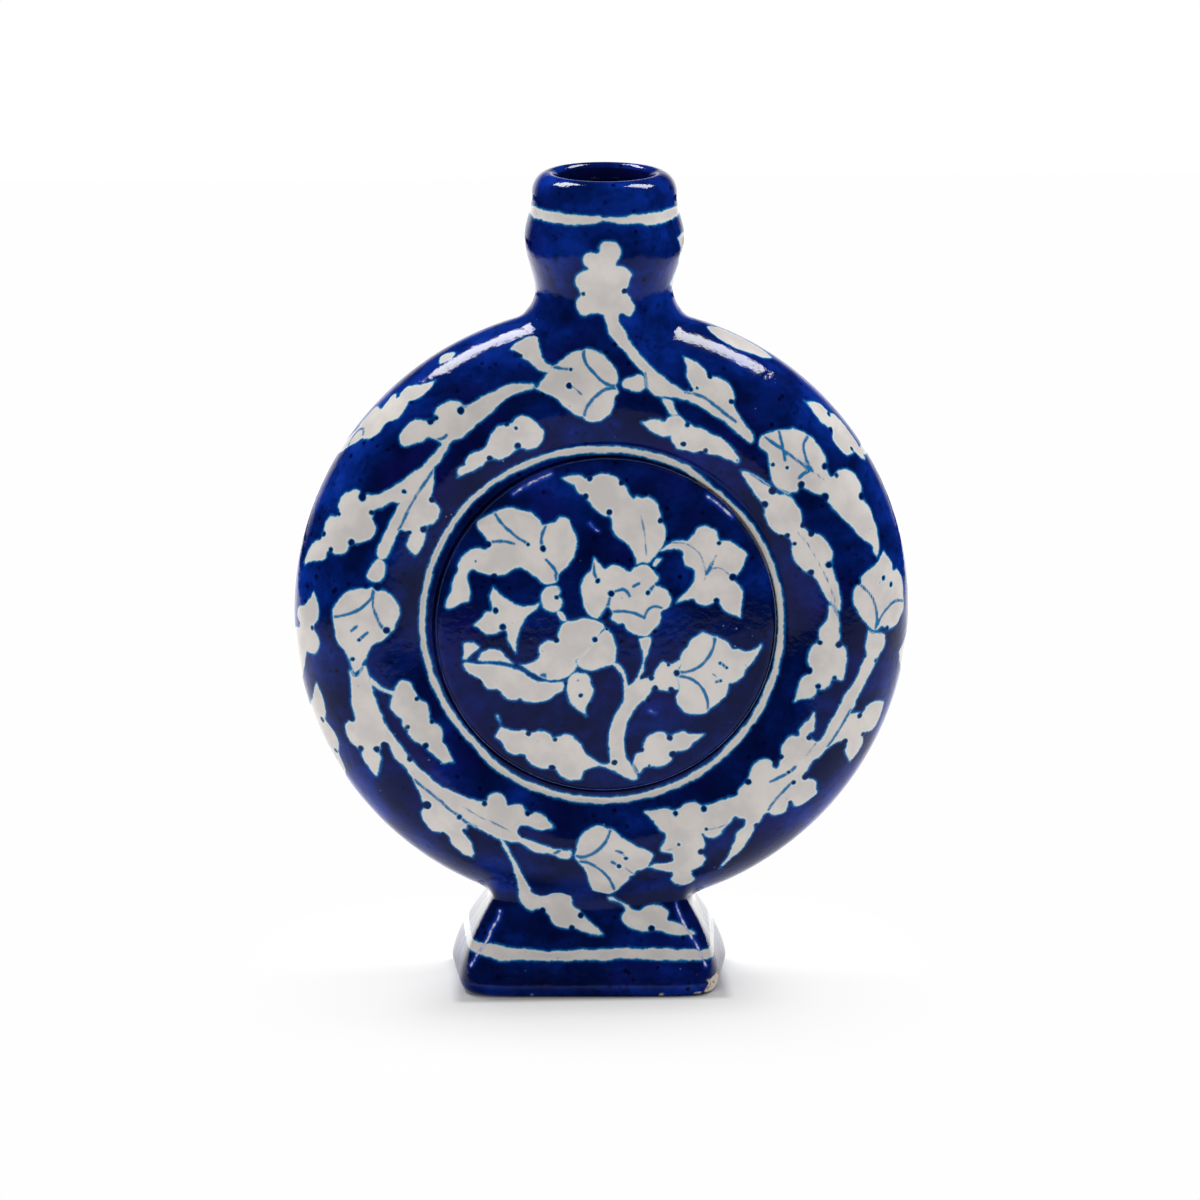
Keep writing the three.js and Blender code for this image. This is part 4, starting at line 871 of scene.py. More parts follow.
# %% The neck's and the foot's drawings
NECK_SHAPES = [
    # Front leaf and its stem
    "-1.4,.4 -2.6,.9 -4.5,.9 -6.1,.3 -7.9,.7 -9.1,2.3 -8.9,4.1 -7.6,5.4 -7.8,6.9 -8.6,8.2 -8.6,9.8 "
    "-7.6,11.3 -6.4,12.3 -5.1,12.9 -6.1,14.1 -5.9,16.3 -4.2,17.4 -2.6,17.3 -2.2,19.1 -1.4,20.2 .2,19.9 "
    "1.8,19.9 2.5,18.2 2.4,16.3 1.6,14.4 1.8,13.6 3.3,13.6 4.9,12.6 5.8,11 5.5,9.1 4.9,7.6 4.8,6.8 "
    "5.5,5.7 6.8,3.8 7.4,1.9 6.1,.1 4.6,.7 3.6,1.1 2.7,.1 3,-1.5 4.3,-3.4 5.5,-5.9 8,-9.6 11.1,-12.7 "
    "14.3,-15.9 11,-16.5 7.4,-13.4 4.9,-9.6 2.4,-7.1 .8,-4.9 -.4,-2.1",
    # Top of the flower below it
    "-16.7,-15.9 -15.1,-14 -13.3,-12.7 -10.8,-10.6 -8.6,-9.3 -7,-8.9 -5.8,-8.4 -3.6,-8.9 -1.4,-9.9 "
    ".2,-11.5 1.4,-13.4 2.3,-15.2 2.1,-17.1 -8,-20",
]
NECK_SIDE_LEAF = ("21.1,19.4* 22.4,17.3 23.2,15.4 22.8,13.8 24.2,12 22.6,9 21.3,6.8* 25,5.4 30,5 34,7 "
                  "36.5,11 35,15.5 31,18.5 26,20")
NECK_DOTS = "-6.9,6,.7 4.4,6.8,.8 -9.8,-14,.6 -16.6,9.6,.9 -16.3,8.4,1.1 -15.9,7.2,.8"
NECK_VEINS = [
    "-6.7,-8.7 -6.1,-11.2 -4.5,-14 -2,-16.2",
    "-15.1,-13.7 -12.6,-14.2 -9.8,-14",
]
FOOT_SHAPES = [
    # Left leaf and the stem from the body
    "-27.4,39.5 -25.2,35.9 -24.1,32.4 -23.3,28.8 -22.9,26.6 -21.6,24.9 -19.9,23.8 -18.1,24.4 "
    "-15.2,22.7 -14.5,20.9 -12.4,19.4 -10.2,19.1 -7.7,19.1 -6.3,18.1 -3.4,17.5 -.7,17.5* -2.4,19.1 "
    "-4.5,20.8 -5.6,21.6 -7,23.6 -8.4,24.5 -9.1,25.6 -9,27 -9.9,28.4 -11.6,30.2 -13.4,30.6 -15.2,30.2 "
    "-15.6,28.4 -17,27.7 -18.8,28.1 -20.2,28.8 -20.9,29.5 -22,32.4 -23.3,35.9 -25.5,39.5",
    # Right leaf
    ".9,27.4* 1.9,27.7 3.7,26.6 5.9,25.2 7.3,23.8 9.1,23.6 10.5,24.5 12.3,25.2 14.4,25.1 16.2,24.1 "
    "16.9,22.7 16.6,21.1 18.4,20.6 20.5,19.5 22.3,18.4 24.4,17* 21.9,17 19.4,17 17.3,17.5 15.9,18.2 "
    "14.4,18.6 11.2,18.2 9.1,18.4 6.9,19.1 5.1,20.6 4.6,22.4 5.5,23.4 5.1,24.9 3.4,25.9 1.6,26.6",
]
FOOT_DOTS = (
    "-17,23.6,1 -9.1,19.1,.9 -6.6,22.4,.9 -17.9,29.1,1.2 12.5,18.9,.9"
)
NECK_LINE_TOP = "-32,27.1 -24,27.1 -15,26.9 -6,26.6 0,26.2 8,26.6 15,26.9 24,27.1"
NECK_LINE_LOW = "-32,25 -24,24.6 -15,24.4 -5,24.4 -1.6,25.5 2,25 5,24.4 8,24.8 10,23.9 14,23.8 20,24.4 26,25"
FOOT_LINE_TOP = ("-34.1,14.6 -29.9,14.6 -25.2,13.8 -20.6,13.4 -15.6,12.7 -10.6,12.7 -6.3,13.2 -1.3,13.1 "
                 ".9,13.4 8,13.6 10.1,13.2 14.4,13.6 18.7,13.1 22.3,13.1 25.9,12.4")
FOOT_LINE_LOW = ("-36.3,12 -32.7,11.6 -28.8,10.4 -24.1,10.7 -18.4,10.6 -11.3,10.4 -6.3,10.6 .1,10.4 3.7,10.9 "
                 "9.4,10.8 15.1,10.6 20.1,10.4 25.1,10.1 28.7,9.9")
FOOT_CHIP = "27.3,4.5 28.4,4.6 30.2,5.3 31.4,4.8 31.4,3 30.7,1.4 29.2,.5 27.2,.7 26.8,1.6 27.5,2.8 28,3.6"
FOOT_NICKS = "-20,1,.2 15,.9,.4 25.3,1,.4 24.4,1.1,.3"
# Painted highlights: pale streaks along the foot's two front corners, where a lamp would shine on the glaze
FOOT_CORNER_HIGHLIGHTS = [
    "-28.4,23.4 -28.9,21.4 -30.6,18.7 -31.9,15.6 -34,12.6 -35.6,9.6 -36.4,8.2",
    "19.2,25.4 20,22.7 22,18.5 24.6,14.2 26.3,10.2 27.3,8.2",
]
print("white shapes on the neck and the foot:", len(NECK_SHAPES), len(FOOT_SHAPES))

# %% [markdown]
# The drawings are wrapped round the two pieces. The back gets the front's drawing, turned half round. The
# white lines run on round the sides, so there they pass from the front's height to the back's. At the joints
# the drawing changes over to the ring's, whose stems and flowers reach onto the neck and the foot.

# %% Wrap them round
NECK_ARC_RADIUS = 19.5
NECK_LINE_TURN = 12.0
NECK_LEAF_SHIFT = -7.0
NECK_THIN = 0.7
NECK_PAINT_DROP, NECK_PAINT_FADE = 12.0, 3.5
NECK_PAINT_REACH, NECK_PAINT_EDGE = 23.4, 2.0
LINE_CLIMB = 3.0
FOOT_LINE_TURN = 14.0
FOOT_PAINT_TOP, FOOT_PAINT_FADE = 30.0, 2.0
GROUND_BAND, GROUND_FADE, GROUND_REFLECTION_LIFT = 4.0, 0.6, 0.8


def brushed_line(across, behind, share, up, top, low):
    """The depth inside a line between two brushed edges, from the front to the back as share grows."""
    edges = []
    for text in (top, low):
        line = path_points(text)[0].T
        edges.append(np.interp(across, *line) * (1 - share) + np.interp(behind, *line) * share)
    return np.maximum(np.minimum(edges[0] - up, up - edges[1]), OUTSIDE)


def neck_drawing(points):
    """What is painted on the neck, running into the ring's drawing on the shoulder."""
    rise = points[:, 2] - BODY_TOP
    arcs, painted = [], None
    for seen, axis, leaf_shift in ((points, NECK_X, 0.0), (other_side(points), -NECK_X, NECK_LEAF_SHIFT)):
        arc = np.arctan2(seen[:, 0] - axis, -seen[:, 1]) * NECK_ARC_RADIUS
        drawing = draw(np.stack([arc, rise], -1), NECK_SHAPES, NECK_DOTS, NECK_VEINS)
        leaf = depth_inside(np.stack([arc - leaf_shift, rise], -1), swing(NECK_SIDE_LEAF))
        drawing["white"] = np.maximum(drawing["white"], np.maximum(leaf, OUTSIDE))
        painted = overlaid(painted, drawing) if painted else drawing
        arcs.append(arc)
    back_share = np.clip((points[:, 1] + NECK_LINE_TURN) / (2 * NECK_LINE_TURN), 0, 1)
    line = brushed_line(*arcs, back_share, rise, NECK_LINE_TOP, NECK_LINE_LOW)
    painted["white"] = np.maximum(painted["white"], line)
    painted["thin_glaze_and_painted_light"] = np.full(len(points), NECK_THIN)
    reach = np.hypot(points[:, 0] - NECK_X, points[:, 1])
    high_enough = np.clip((rise + NECK_PAINT_DROP) / NECK_PAINT_FADE, 0, 1)
    close_enough = np.clip((NECK_PAINT_REACH - reach) / NECK_PAINT_EDGE, 0, 1)
    return faded(ring_drawing(points), painted, high_enough * close_enough)


def foot_drawing(points):
    """What is painted on the foot, running into the ring's drawing where the foot meets the body."""
    x, y, z = points.T
    painted = None
    for across, from_corner, facing in ((x, x, y <= 0), (-x, 2 * FOOT_X - x, y > 0)):
        drawing = draw(np.stack([across, z], -1), FOOT_SHAPES, FOOT_DOTS)
        # Painted highlights along the front corners
        drawing["thin_glaze_and_painted_light"] = painted_highlights(np.stack([from_corner, z], -1), FOOT_CORNER_HIGHLIGHTS)
        drawing = {name: np.where(facing, depth, OUTSIDE) for name, depth in drawing.items()}
        painted = overlaid(painted, drawing) if painted else drawing
    back_share = np.clip((y + FOOT_LINE_TURN) / (2 * FOOT_LINE_TURN), 0, 1)
    line = brushed_line(x, 2 * FOOT_X - x, back_share, z - LINE_CLIMB * back_share,
                        FOOT_LINE_TOP, FOOT_LINE_LOW)
    painted["white"] = np.maximum(painted["white"], line)
    # Painted reflection: a lighter band along the ground edge, as the glaze there mirrors the sheet
    near_ground = np.clip((GROUND_BAND - z) / GROUND_FADE, 0, 1)
    painted["thin_glaze_and_painted_light"] = np.maximum(painted["thin_glaze_and_painted_light"], GROUND_REFLECTION_LIFT * near_ground)
    return faded(ring_drawing(points), painted, np.clip((FOOT_PAINT_TOP - z) / FOOT_PAINT_FADE, 0, 1))


print("the foot's line climbs", LINE_CLIMB, "mm to the back")

# %% [markdown]
# ## The glaze
# Cobalt under a clear glaze is never one blue. It pools almost black where the brush was full, thins to a
# bright teal edge where it runs into the white, and carries specks and pinholes. The skin stores how deep
# each point lies in the white, so the material only has to turn millimetres into colour. The coat comes
# first: a ramp of blues over a broad mottling and the faint streaks of a flat brush.

# %% Brush on the cobalt
PAINT_KINDS = ("white", "spot", "vein", "bare", "thin_glaze_and_painted_light")
# Millimetres across, detail and roughness of each pattern
PATTERNS = {
    "mottle": (15.0, 5.0, 0.6), "pools": (3.4, 3.0, 0.55), "bloom": (26.0, 3.0, 0.55),
    "slip": (9.0, 4.0, 0.55), "iron": (7.0, 3.0, 0.55), "pinholes": (12.0, 3.0, 0.55),
    "clay": (1.3, 4.0, 0.55), "gloss": (5.0, 3.0, 0.55), "peel": (1.7, 3.0, 0.5),
    "swell": (9.0, 2.0, 0.55),
}
COBALT = ((0.30, "#010A36"), (0.48, "#011248"), (0.62, "#021C64"), (0.80, "#082E92"), (1.0, "#1E46A8"))
STREAK, STREAK_STRETCH, STREAK_SWAY = 4.0, (0.35, 1.0, 1.0), 0.05
THIN_AND_PAINTED_LIGHT_LIFT = 0.24

# Glazed earthenware: deep glassy blues beside a warm white, with a wet shine over both
GLAZE = bpy.data.materials.new("cobalt_and_white_slip_under_clear_glaze")
GLAZE.use_nodes = True
glaze_nodes = GLAZE.node_tree
skin_place = add(glaze_nodes, "ShaderNodeTexCoord").outputs["Object"]
paint = {kind: add(glaze_nodes, "ShaderNodeAttribute", attribute_name=kind).outputs["Fac"]
         for kind in PAINT_KINDS}
noise = {name: add(glaze_nodes, "ShaderNodeTexNoise", {
    "Vector": skin_place, "Scale": per_mm(size), "Detail": detail, "Roughness": rough}).outputs["Fac"]
    for name, (size, detail, rough) in PATTERNS.items()}
streaks = add(glaze_nodes, "ShaderNodeVectorMath", {0: skin_place, 1: STREAK_STRETCH}, operation="MULTIPLY")
streaks = add(glaze_nodes, "ShaderNodeTexNoise", {
    "Vector": streaks.outputs["Vector"], "Scale": per_mm(STREAK), "Detail": 4.0})
streaks = add(glaze_nodes, "ShaderNodeMapRange", {
    "Value": streaks.outputs["Fac"], "From Min": 0.3, "From Max": 0.7, "To Min": -STREAK_SWAY,
    "To Max": STREAK_SWAY}, interpolation_type="SMOOTHSTEP").outputs["Result"]
coat = add(glaze_nodes, "ShaderNodeMath", {0: noise["mottle"], 1: streaks}, operation="ADD").outputs["Value"]
# The blue is lighter where the glaze runs thin, and under the painted highlights and the painted reflection
# along the foot's ground edge
coat = add(glaze_nodes, "ShaderNodeMath", {0: paint["thin_glaze_and_painted_light"], 1: THIN_AND_PAINTED_LIGHT_LIFT, 2: coat}, operation="MULTIPLY_ADD")
blues = add(glaze_nodes, "ShaderNodeValToRGB", {"Fac": coat.outputs["Value"]},
            [(place, linear(code)) for place, code in COBALT]).outputs["Color"]
print("patterns in the glaze:", len(PATTERNS), "and the streaks")

# %% [markdown]
# No brushed edge is clean. A little noise added to a depth moves the edge in and out, as wet slip does on the
# unfired clay.

# %% Fray the brush work
# Kind of paint, millimetres across, how far it strays
FRAYS = (("white", 1.8, 0.14), ("white", 4.5, 0.18), ("vein", 2.2, 0.12), ("spot", 1.6, 0.1),
         ("thin_glaze_and_painted_light", 1.6, 0.3))

for kind, size, stray in FRAYS:
    wobble = add(glaze_nodes, "ShaderNodeTexNoise", {
        "Vector": skin_place, "Scale": per_mm(size), "Detail": 3.0, "Roughness": 0.55}).outputs["Fac"]
    wobble = add(glaze_nodes, "ShaderNodeMapRange", {
        "Value": wobble, "From Min": 0.3, "From Max": 0.7, "To Min": -stray, "To Max": stray},
        interpolation_type="SMOOTHSTEP").outputs["Result"]
    paint[kind] = add(glaze_nodes, "ShaderNodeMath",
                      {0: paint[kind], 1: wobble}, operation="ADD").outputs["Value"]
specks, pins = (
    add(glaze_nodes, "ShaderNodeTexVoronoi",
        {"Vector": skin_place, "Scale": per_mm(size)}).outputs["Distance"]
    for size in (3.0, 4.6))
print("the white's edge strays up to", FRAYS[0][2] + FRAYS[1][2], "mm")

# %% [markdown]
# Then the paint goes on in layers, each with its colour and with masks that say where it lies. A mask fades
# in between two depths, or between two levels of a pattern.

# %% Lay the paint in layers
TEAL_EDGE = ((0.0, "#063C86"), (0.35, "#0B5FA2"), (0.55, "#3F94C0"), (0.74, "#C4D4DB"), (0.95, "#E0DBD6"))


def laid_on(base, layers):
    """Layers of paint on a base colour. A mask is a value, its start, where it is full, and its strength."""
    for colour, masks in layers:
        cover = 1.0
        for value, start, full, strong in masks:
            mask = add(glaze_nodes, "ShaderNodeMapRange", {
                "Value": value, "From Min": start, "From Max": full, "To Max": strong},
                interpolation_type="SMOOTHSTEP").outputs["Result"]
            cover = add(glaze_nodes, "ShaderNodeMath",
                        {0: cover, 1: mask}, operation="MULTIPLY").outputs["Value"]
        base = add(glaze_nodes, "ShaderNodeMix", {"Factor": cover, "A": base, "B": colour},
                   data_type="RGBA").outputs["Result"]
    return base


run_in = add(glaze_nodes, "ShaderNodeMapRange", {"Value": paint["white"], "From Min": -0.8, "From Max": 0.5},
             interpolation_type="SMOOTHSTEP").outputs["Result"]
teal_edge = add(glaze_nodes, "ShaderNodeValToRGB", {"Fac": run_in},
                [(place, linear(code)) for place, code in TEAL_EDGE]).outputs["Color"]
slip = laid_on(linear("#E2DCD7"), [(linear("#D2CDCA"), [(noise["slip"], 0.35, 0.65, 1.0)])])
white_slip = laid_on(teal_edge, [(slip, [(paint["white"], 0.25, 0.7, 1.0)])])
painted_blue = laid_on(blues, [
    # Pools where the brush was full
    (linear("#010A34"), [(noise["pools"], 0.56, 0.72, 0.55)]),
    # A violet bloom here and there
    (linear("#16116A"), [(noise["bloom"], 0.5, 0.68, 0.3)]),
    # The white and its teal edge
    (white_slip, [(paint["white"], -1.05, -0.25, 1.0)]),
    # Pen lines on the white
    (linear("#2275AC"), [(paint["vein"], -0.2, 0.25, 1.0), (paint["white"], -0.2, 0.4, 1.0)]),
    # Dark dots, and the painted shade along the foot's ground edge
    (linear("#04124A"), [(paint["spot"], -0.1, 0.3, 0.8)]),
    # Iron specks in the blue
    (linear("#01062A"), [(specks, 0.30, 0.12, 1.0), (noise["iron"], 0.46, 0.6, 1.0),
                         (paint["white"], 0.1, -0.6, 1.0)]),
    # Pinholes
    (linear("#7C94B4"), [(pins, 0.075, 0.03, 1.0), (noise["pinholes"], 0.5, 0.6, 0.6)]),
    # Painted highlights along the streaks, and their white cores
    (linear("#6C6CBE"), [(paint["thin_glaze_and_painted_light"], 1.35, 1.75, 0.5)]),
    (linear("#EAE8F6"), [(paint["thin_glaze_and_painted_light"], 1.65, 2.15, 0.9)]),
])
bare_clay = laid_on(linear("#A98962"), [(linear("#E6DDCF"), [(noise["clay"], 0.34, 0.5, 1.0)])])
colour = add(glaze_nodes, "ShaderNodeMix", {"Factor": paint["bare"], "A": painted_blue, "B": bare_clay},
             data_type="RGBA").outputs["Result"]
print("glaze nodes so far:", len(glaze_nodes.nodes))

# %% [markdown]
# The clear glaze on top is a kind of glass. It is glossy with a fine orange peel, which frays the reflection
# of a lamp into a pitted band, and it dips and swells a tenth of a millimetre over the hand-smoothed clay.
# Where the foot is chipped the clay is rough.

# %% Fire the clear glaze
GLOSS = (0.04, 0.09)
CLAY_ROUGH = 0.7
PEEL_HEIGHT = 0.1 * MM
SWELL_HEIGHT = 0.12 * MM

peel = add(glaze_nodes, "ShaderNodeBump", {"Height": noise["peel"], "Strength": 0.7, "Distance": PEEL_HEIGHT})
swell = add(glaze_nodes, "ShaderNodeBump", {
    "Height": noise["swell"], "Strength": 1.0, "Distance": SWELL_HEIGHT, "Normal": peel.outputs["Normal"]})
gloss = add(glaze_nodes, "ShaderNodeMapRange", {
    "Value": noise["gloss"], "From Min": 0.3, "From Max": 0.7, "To Min": GLOSS[0], "To Max": GLOSS[1]},
    interpolation_type="SMOOTHSTEP").outputs["Result"]
gloss = add(glaze_nodes, "ShaderNodeMath",
            {0: paint["bare"], 1: CLAY_ROUGH, 2: gloss}, operation="MULTIPLY_ADD")
shine = glaze_nodes.nodes["Principled BSDF"]
shine.inputs["IOR"].default_value = 1.5
shine.inputs["Specular IOR Level"].default_value = 0.4
glaze_nodes.links.new(colour, shine.inputs["Base Color"])
glaze_nodes.links.new(gloss.outputs["Value"], shine.inputs["Roughness"])
glaze_nodes.links.new(swell.outputs["Normal"], shine.inputs["Normal"])
print("glaze nodes:", len(glaze_nodes.nodes))

# %% [markdown]
# ## From a grid to a skin
# All the pieces are turned or drawn round an axis, so each is a grid of points: rows along its profile,
# columns round it. The grid is joined into a closed skin, with a pole at each end, or end to end where it has
# none. The skin also stores the drawing, and is laid out flat for the colour map.

# %% Join a grid
def round_grid(profile, around):
    """A profile of (radius, y) turned about the body's front-to-back axis."""
    turn = np.linspace(0, 2 * math.pi, around, endpoint=False)
    profile = np.asarray(profile)
    radius, along = profile[:, :1], profile[:, 1:]
    return np.stack([radius * np.cos(turn), along + 0 * turn, CENTRE + radius * np.sin(turn)], -1)


def joined_grid(grid, flat, poles, hole):
    """The points and faces of a grid, and the place of each face corner on the colour map."""
    rows, around = grid.shape[:2]
    index = np.arange(rows * around).reshape(rows, around)
    beside = np.roll(index, -1, axis=1)
    quads, places = [], []
    for i in range(rows - 1 if poles is not None else rows):
        j = (i + 1) % rows
        quads.append(np.stack([index[i], beside[i], beside[j], index[j]], -1))
        places.append(np.stack([flat[i, :-1], flat[i, 1:], flat[j, 1:], flat[j, :-1]], 1))
    quads, places = np.concatenate(quads), np.concatenate(places)
    points = grid.reshape(-1, 3)
    if hole is not None:
        keep = ~hole[quads].any(1)
        quads, places = quads[keep], places[keep]
    faces, layout = quads.tolist(), [places.reshape(-1, 2)]
    if poles is not None:
        points = np.concatenate([points, poles])
        for pole, row, turn in ((len(points) - 2, 0, 1), (len(points) - 1, -1, -1)):
            fan = np.stack([np.full(around, pole), beside[row], index[row]], -1)
            middle = np.broadcast_to(flat[row].mean(0), (around, 2))
            faces += fan[:, ::turn].tolist()
            layout.append(np.stack([middle, flat[row, 1:], flat[row, :-1]][::turn], 1).reshape(-1, 2))
    return points, faces, np.concatenate(layout)


def close_notch(mesh):
    """Close the cut of a notch with its wall, and turn the faces outward."""
    build = bmesh.new()
    build.from_mesh(mesh)
    jags = [loop for vert in build.verts if vert.is_boundary for loop in vert.link_loops
            if loop.edge.is_boundary and loop.link_loop_prev.edge.is_boundary]
    for loop in jags:
        if len(loop.face.verts) > 3:
            bmesh.utils.face_split(loop.face, loop.vert, loop.link_loop_next.link_loop_next.vert)
    open_edges = [line for line in build.edges if line.is_boundary]
    if open_edges:
        bmesh.ops.holes_fill(build, edges=open_edges, sides=0)
    if build.calc_volume(signed=True) < 0:
        bmesh.ops.reverse_faces(build, faces=build.faces)
    build.to_mesh(mesh)
    build.free()


print("a disc of 8 columns has", round_grid([(10.0, 0.0), (5.0, 0.0)], 8).shape[:2], "rows and columns")

# %% Make a skin of it
def clay_skin(name, grid, flat, drawing, poles=None, hole=None):
    """A closed, painted skin, and which of the grid's points it uses."""
    points, faces, layout = joined_grid(grid, flat, poles, hole)
    used = np.unique(np.concatenate([np.ravel(face) for face in faces]))
    place_of = np.zeros(len(points), int)
    place_of[used] = np.arange(len(used))
    mesh = bpy.data.meshes.new(name)
    mesh.from_pydata((points[used] * MM).tolist(), [], [place_of[face].tolist() for face in faces])
    mesh.uv_layers.new(name="OFBake").data.foreach_set("uv", layout.astype(np.float32).ravel())
    for kind in PAINT_KINDS:
        values = np.full(len(points), 0.0 if kind in ("bare", "thin_glaze_and_painted_light") else OUTSIDE)
        if kind in drawing:
            values[:len(drawing[kind])] = drawing[kind]
        mesh.attributes.new(kind, "FLOAT", "POINT").data.foreach_set("value", values[used].astype(np.float32))
    close_notch(mesh)
    mesh.shade_smooth()
    mesh.materials.append(GLAZE)
    skin = bpy.data.objects.new(name, mesh)
    bpy.context.scene.collection.objects.link(skin)
    return skin, used


def fit_for(skin, *nodes):
    """Let a skin stand for its clay pieces in the model."""
    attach(skin, "root")
    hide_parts(*nodes)
    print(skin.name, len(skin.data.polygons), "faces stand for", ", ".join(nodes))


print("each skin stores:", ", ".join(PAINT_KINDS))

# %% [markdown]
# ## The shells
# Each half of the body is a dish: a flat seat behind the medallion, a groove, the rounded ring, and a plain
# lining inside. The two dishes meet at the rim. The shading there is taken from the true oval, so that the
# fired seam doesn't show. A round notch at the top lets the neck's passage through.

# %% Draw the dish's profile
RING_ROWS = 88
WALL = 6.0
SEAT_GAP = 0.5
RECESS_GAP = 0.3
LAST_RING = 12.0

seat = DISC_BACK - SEAT_GAP
web = seat - WALL
recess_radius = DISC_RADIUS + RECESS_GAP
lining_end = math.acos(web / (RING_DEPTH - WALL))
groove = [(radius, -GROOVE_FLOOR) for radius in np.linspace(recess_radius, GROOVE_EDGE, 7)[:-1]]
ring, lining = (
    [(RING_RADIUS + (RING_WIDTH - inset) * math.sin(t), -(RING_DEPTH - inset) * math.cos(t)) for t in turns]
    for inset, turns in ((0.0, np.linspace(GROOVE_TURN, math.pi / 2, RING_ROWS)),
                         (WALL, np.linspace(math.pi / 2, -lining_end, 12))))
dish = [(LAST_RING, -seat), (recess_radius, -seat)] + groove + ring + lining + [(LAST_RING, -web)]
SEAM_ROW = 2 + len(groove) + len(ring) - 1
print("the dish has", len(dish), "rows, the seam is row", SEAM_ROW)

# %% Press the two shells
SHELL_AROUND = 800
NOTCH = 14.6
# The colour map is a little wider than the skin, and hidden faces share one small corner of it
MAP_SPAN = 2.06
CORNER, CORNER_SPAN = 0.05, 22.0


def press_shell(name, back):
    """One half of the body."""
    grid = round_grid(dish, SHELL_AROUND)
    wide = np.concatenate([grid, grid[:, :1]], axis=1)
    flat = 0.5 + unroll(wide) / (MAP_SPAN * RIM_LENGTH)
    hidden = np.arange(len(dish)) > SEAM_ROW
    flat[hidden] = CORNER + (wide[hidden][..., [0, 2]] - [0, CENTRE]) / (CORNER_SPAN * BODY_RADIUS)
    poles = np.array([[0, -seat, CENTRE], [0, -web, CENTRE]])
    normals = np.cross(np.gradient(grid, axis=0), np.roll(grid, -1, 1) - np.roll(grid, 1, 1))
    angle = np.linspace(0, 2 * math.pi, SHELL_AROUND, endpoint=False)
    normals[SEAM_ROW] = np.stack([np.cos(angle), 0 * angle, np.sin(angle)], -1)
    outward = np.concatenate([normals.reshape(-1, 3), [[0, -1, 0], [0, 1, 0]]])
    outward /= np.linalg.norm(outward, axis=1, keepdims=True)
    if back:
        grid, poles, outward = other_side(grid), other_side(poles), other_side(outward)
    points = grid.reshape(-1, 3)
    on_skin = np.repeat(~hidden, SHELL_AROUND)
    drawing = {kind: np.full(len(points), OUTSIDE) for kind in ("white", "spot", "vein", "thin_glaze_and_painted_light")}
    for kind, depth in ring_drawing(points[on_skin]).items():
        drawing[kind][on_skin] = depth
    hole = (np.hypot(points[:, 0] - NECK_X, points[:, 1]) < NOTCH) & (points[:, 2] > CENTRE)
    hole = np.concatenate([hole, [False, False]])
    skin, used = clay_skin(name, grid, flat, drawing, poles, hole)
    skin.data.normals_split_custom_set_from_vertices(outward[used].tolist())
    return skin


fit_for(press_shell("painted_front_shell", back=False),
        "front_shell", "body_seam_slip", "front_medallion_slip")
fit_for(press_shell("painted_back_shell", back=True), "back_shell", "back_medallion_slip")

# %% [markdown]
# ## The medallions
# A medallion is a shallow domed disc with a soft edge, stuck on inside the groove. The dome is almost flat in
# the middle and turns down near the edge. The glints on its upper edge and two pale smears on its face are
# painted highlights.

# %% Lay on the medallions
DISC_AROUND = 560
DISC_ROWS = 96
EDGE_ROUND = 2.8
DOME = 2.0
DOME_POWER = 2.6
BACK_RING, TOP_RING = 20.0, 0.4

dome_radius = DISC_RADIUS - EDGE_ROUND
shoulder = DISC_TOP - DOME
disc_edge = [(dome_radius + EDGE_ROUND * math.cos(t), -(shoulder - EDGE_ROUND + EDGE_ROUND * math.sin(t)))
             for t in np.linspace(0, math.pi / 2, 12)]
dome = [(radius, -(DISC_TOP - DOME * (radius / dome_radius) ** DOME_POWER))
        for radius in np.linspace(dome_radius, TOP_RING, DISC_ROWS)[1:]]
disc = [(BACK_RING, -DISC_BACK), (DISC_RADIUS, -DISC_BACK)] + disc_edge + dome


def lay_medallion(name, back):
    """One domed disc."""
    grid = round_grid(disc, DISC_AROUND)
    wide = np.concatenate([grid, grid[:, :1]], axis=1)[..., [0, 2]] - [0, CENTRE]
    flat = 0.5 + wide / (MAP_SPAN * DISC_RADIUS)
    flat[:2] = CORNER + wide[:2] / (CORNER_SPAN * DISC_RADIUS)
    places = grid.reshape(-1, 3)[:, [0, 2]] - [0, CENTRE]
    drawing = draw(places, MEDALLION_SHAPES, MEDALLION_DOTS, MEDALLION_VEINS, MEDALLION_FAINT)
    # The medallion's painted highlights, stored as pale streaks
    drawing["thin_glaze_and_painted_light"] = painted_highlights(places, MEDALLION_HIGHLIGHTS)
    poles = np.array([[0, -DISC_BACK, CENTRE], [0, -DISC_TOP, CENTRE]])
    if back:
        grid, poles = other_side(grid), other_side(poles)
    return clay_skin(name, grid, flat, drawing, poles)[0]


fit_for(lay_medallion("painted_front_medallion", back=False), "front_medallion")
fit_for(lay_medallion("painted_back_medallion", back=True), "back_medallion")

# %% [markdown]
# ## Flowing onto the body
# The potter smooths the neck and the foot onto the body with a wet finger. To follow that finger, take the
# distance from the wall and the distance from the body, join the two softly, and walk along the line where
# the joined distance is nought: down the wall, round the fillet and out along the body. The walk goes on a
# few steps past the fillet, dipping under the body's skin, so that no edge shows.

# %% Feel for the body
TAIL_DIPS = (0.004, 0.012, 0.03, 0.06, 0.12, 0.25)
TAIL_STEP = 0.6
WALK_STEP = 0.25


def body_gap(x, y, z):
    """The distance from the body's skin, near enough."""
    radius = np.hypot(x, z - CENTRE)
    return (np.hypot((radius - RING_RADIUS) / RING_WIDTH, y / RING_DEPTH) - 1) * RING_DEPTH


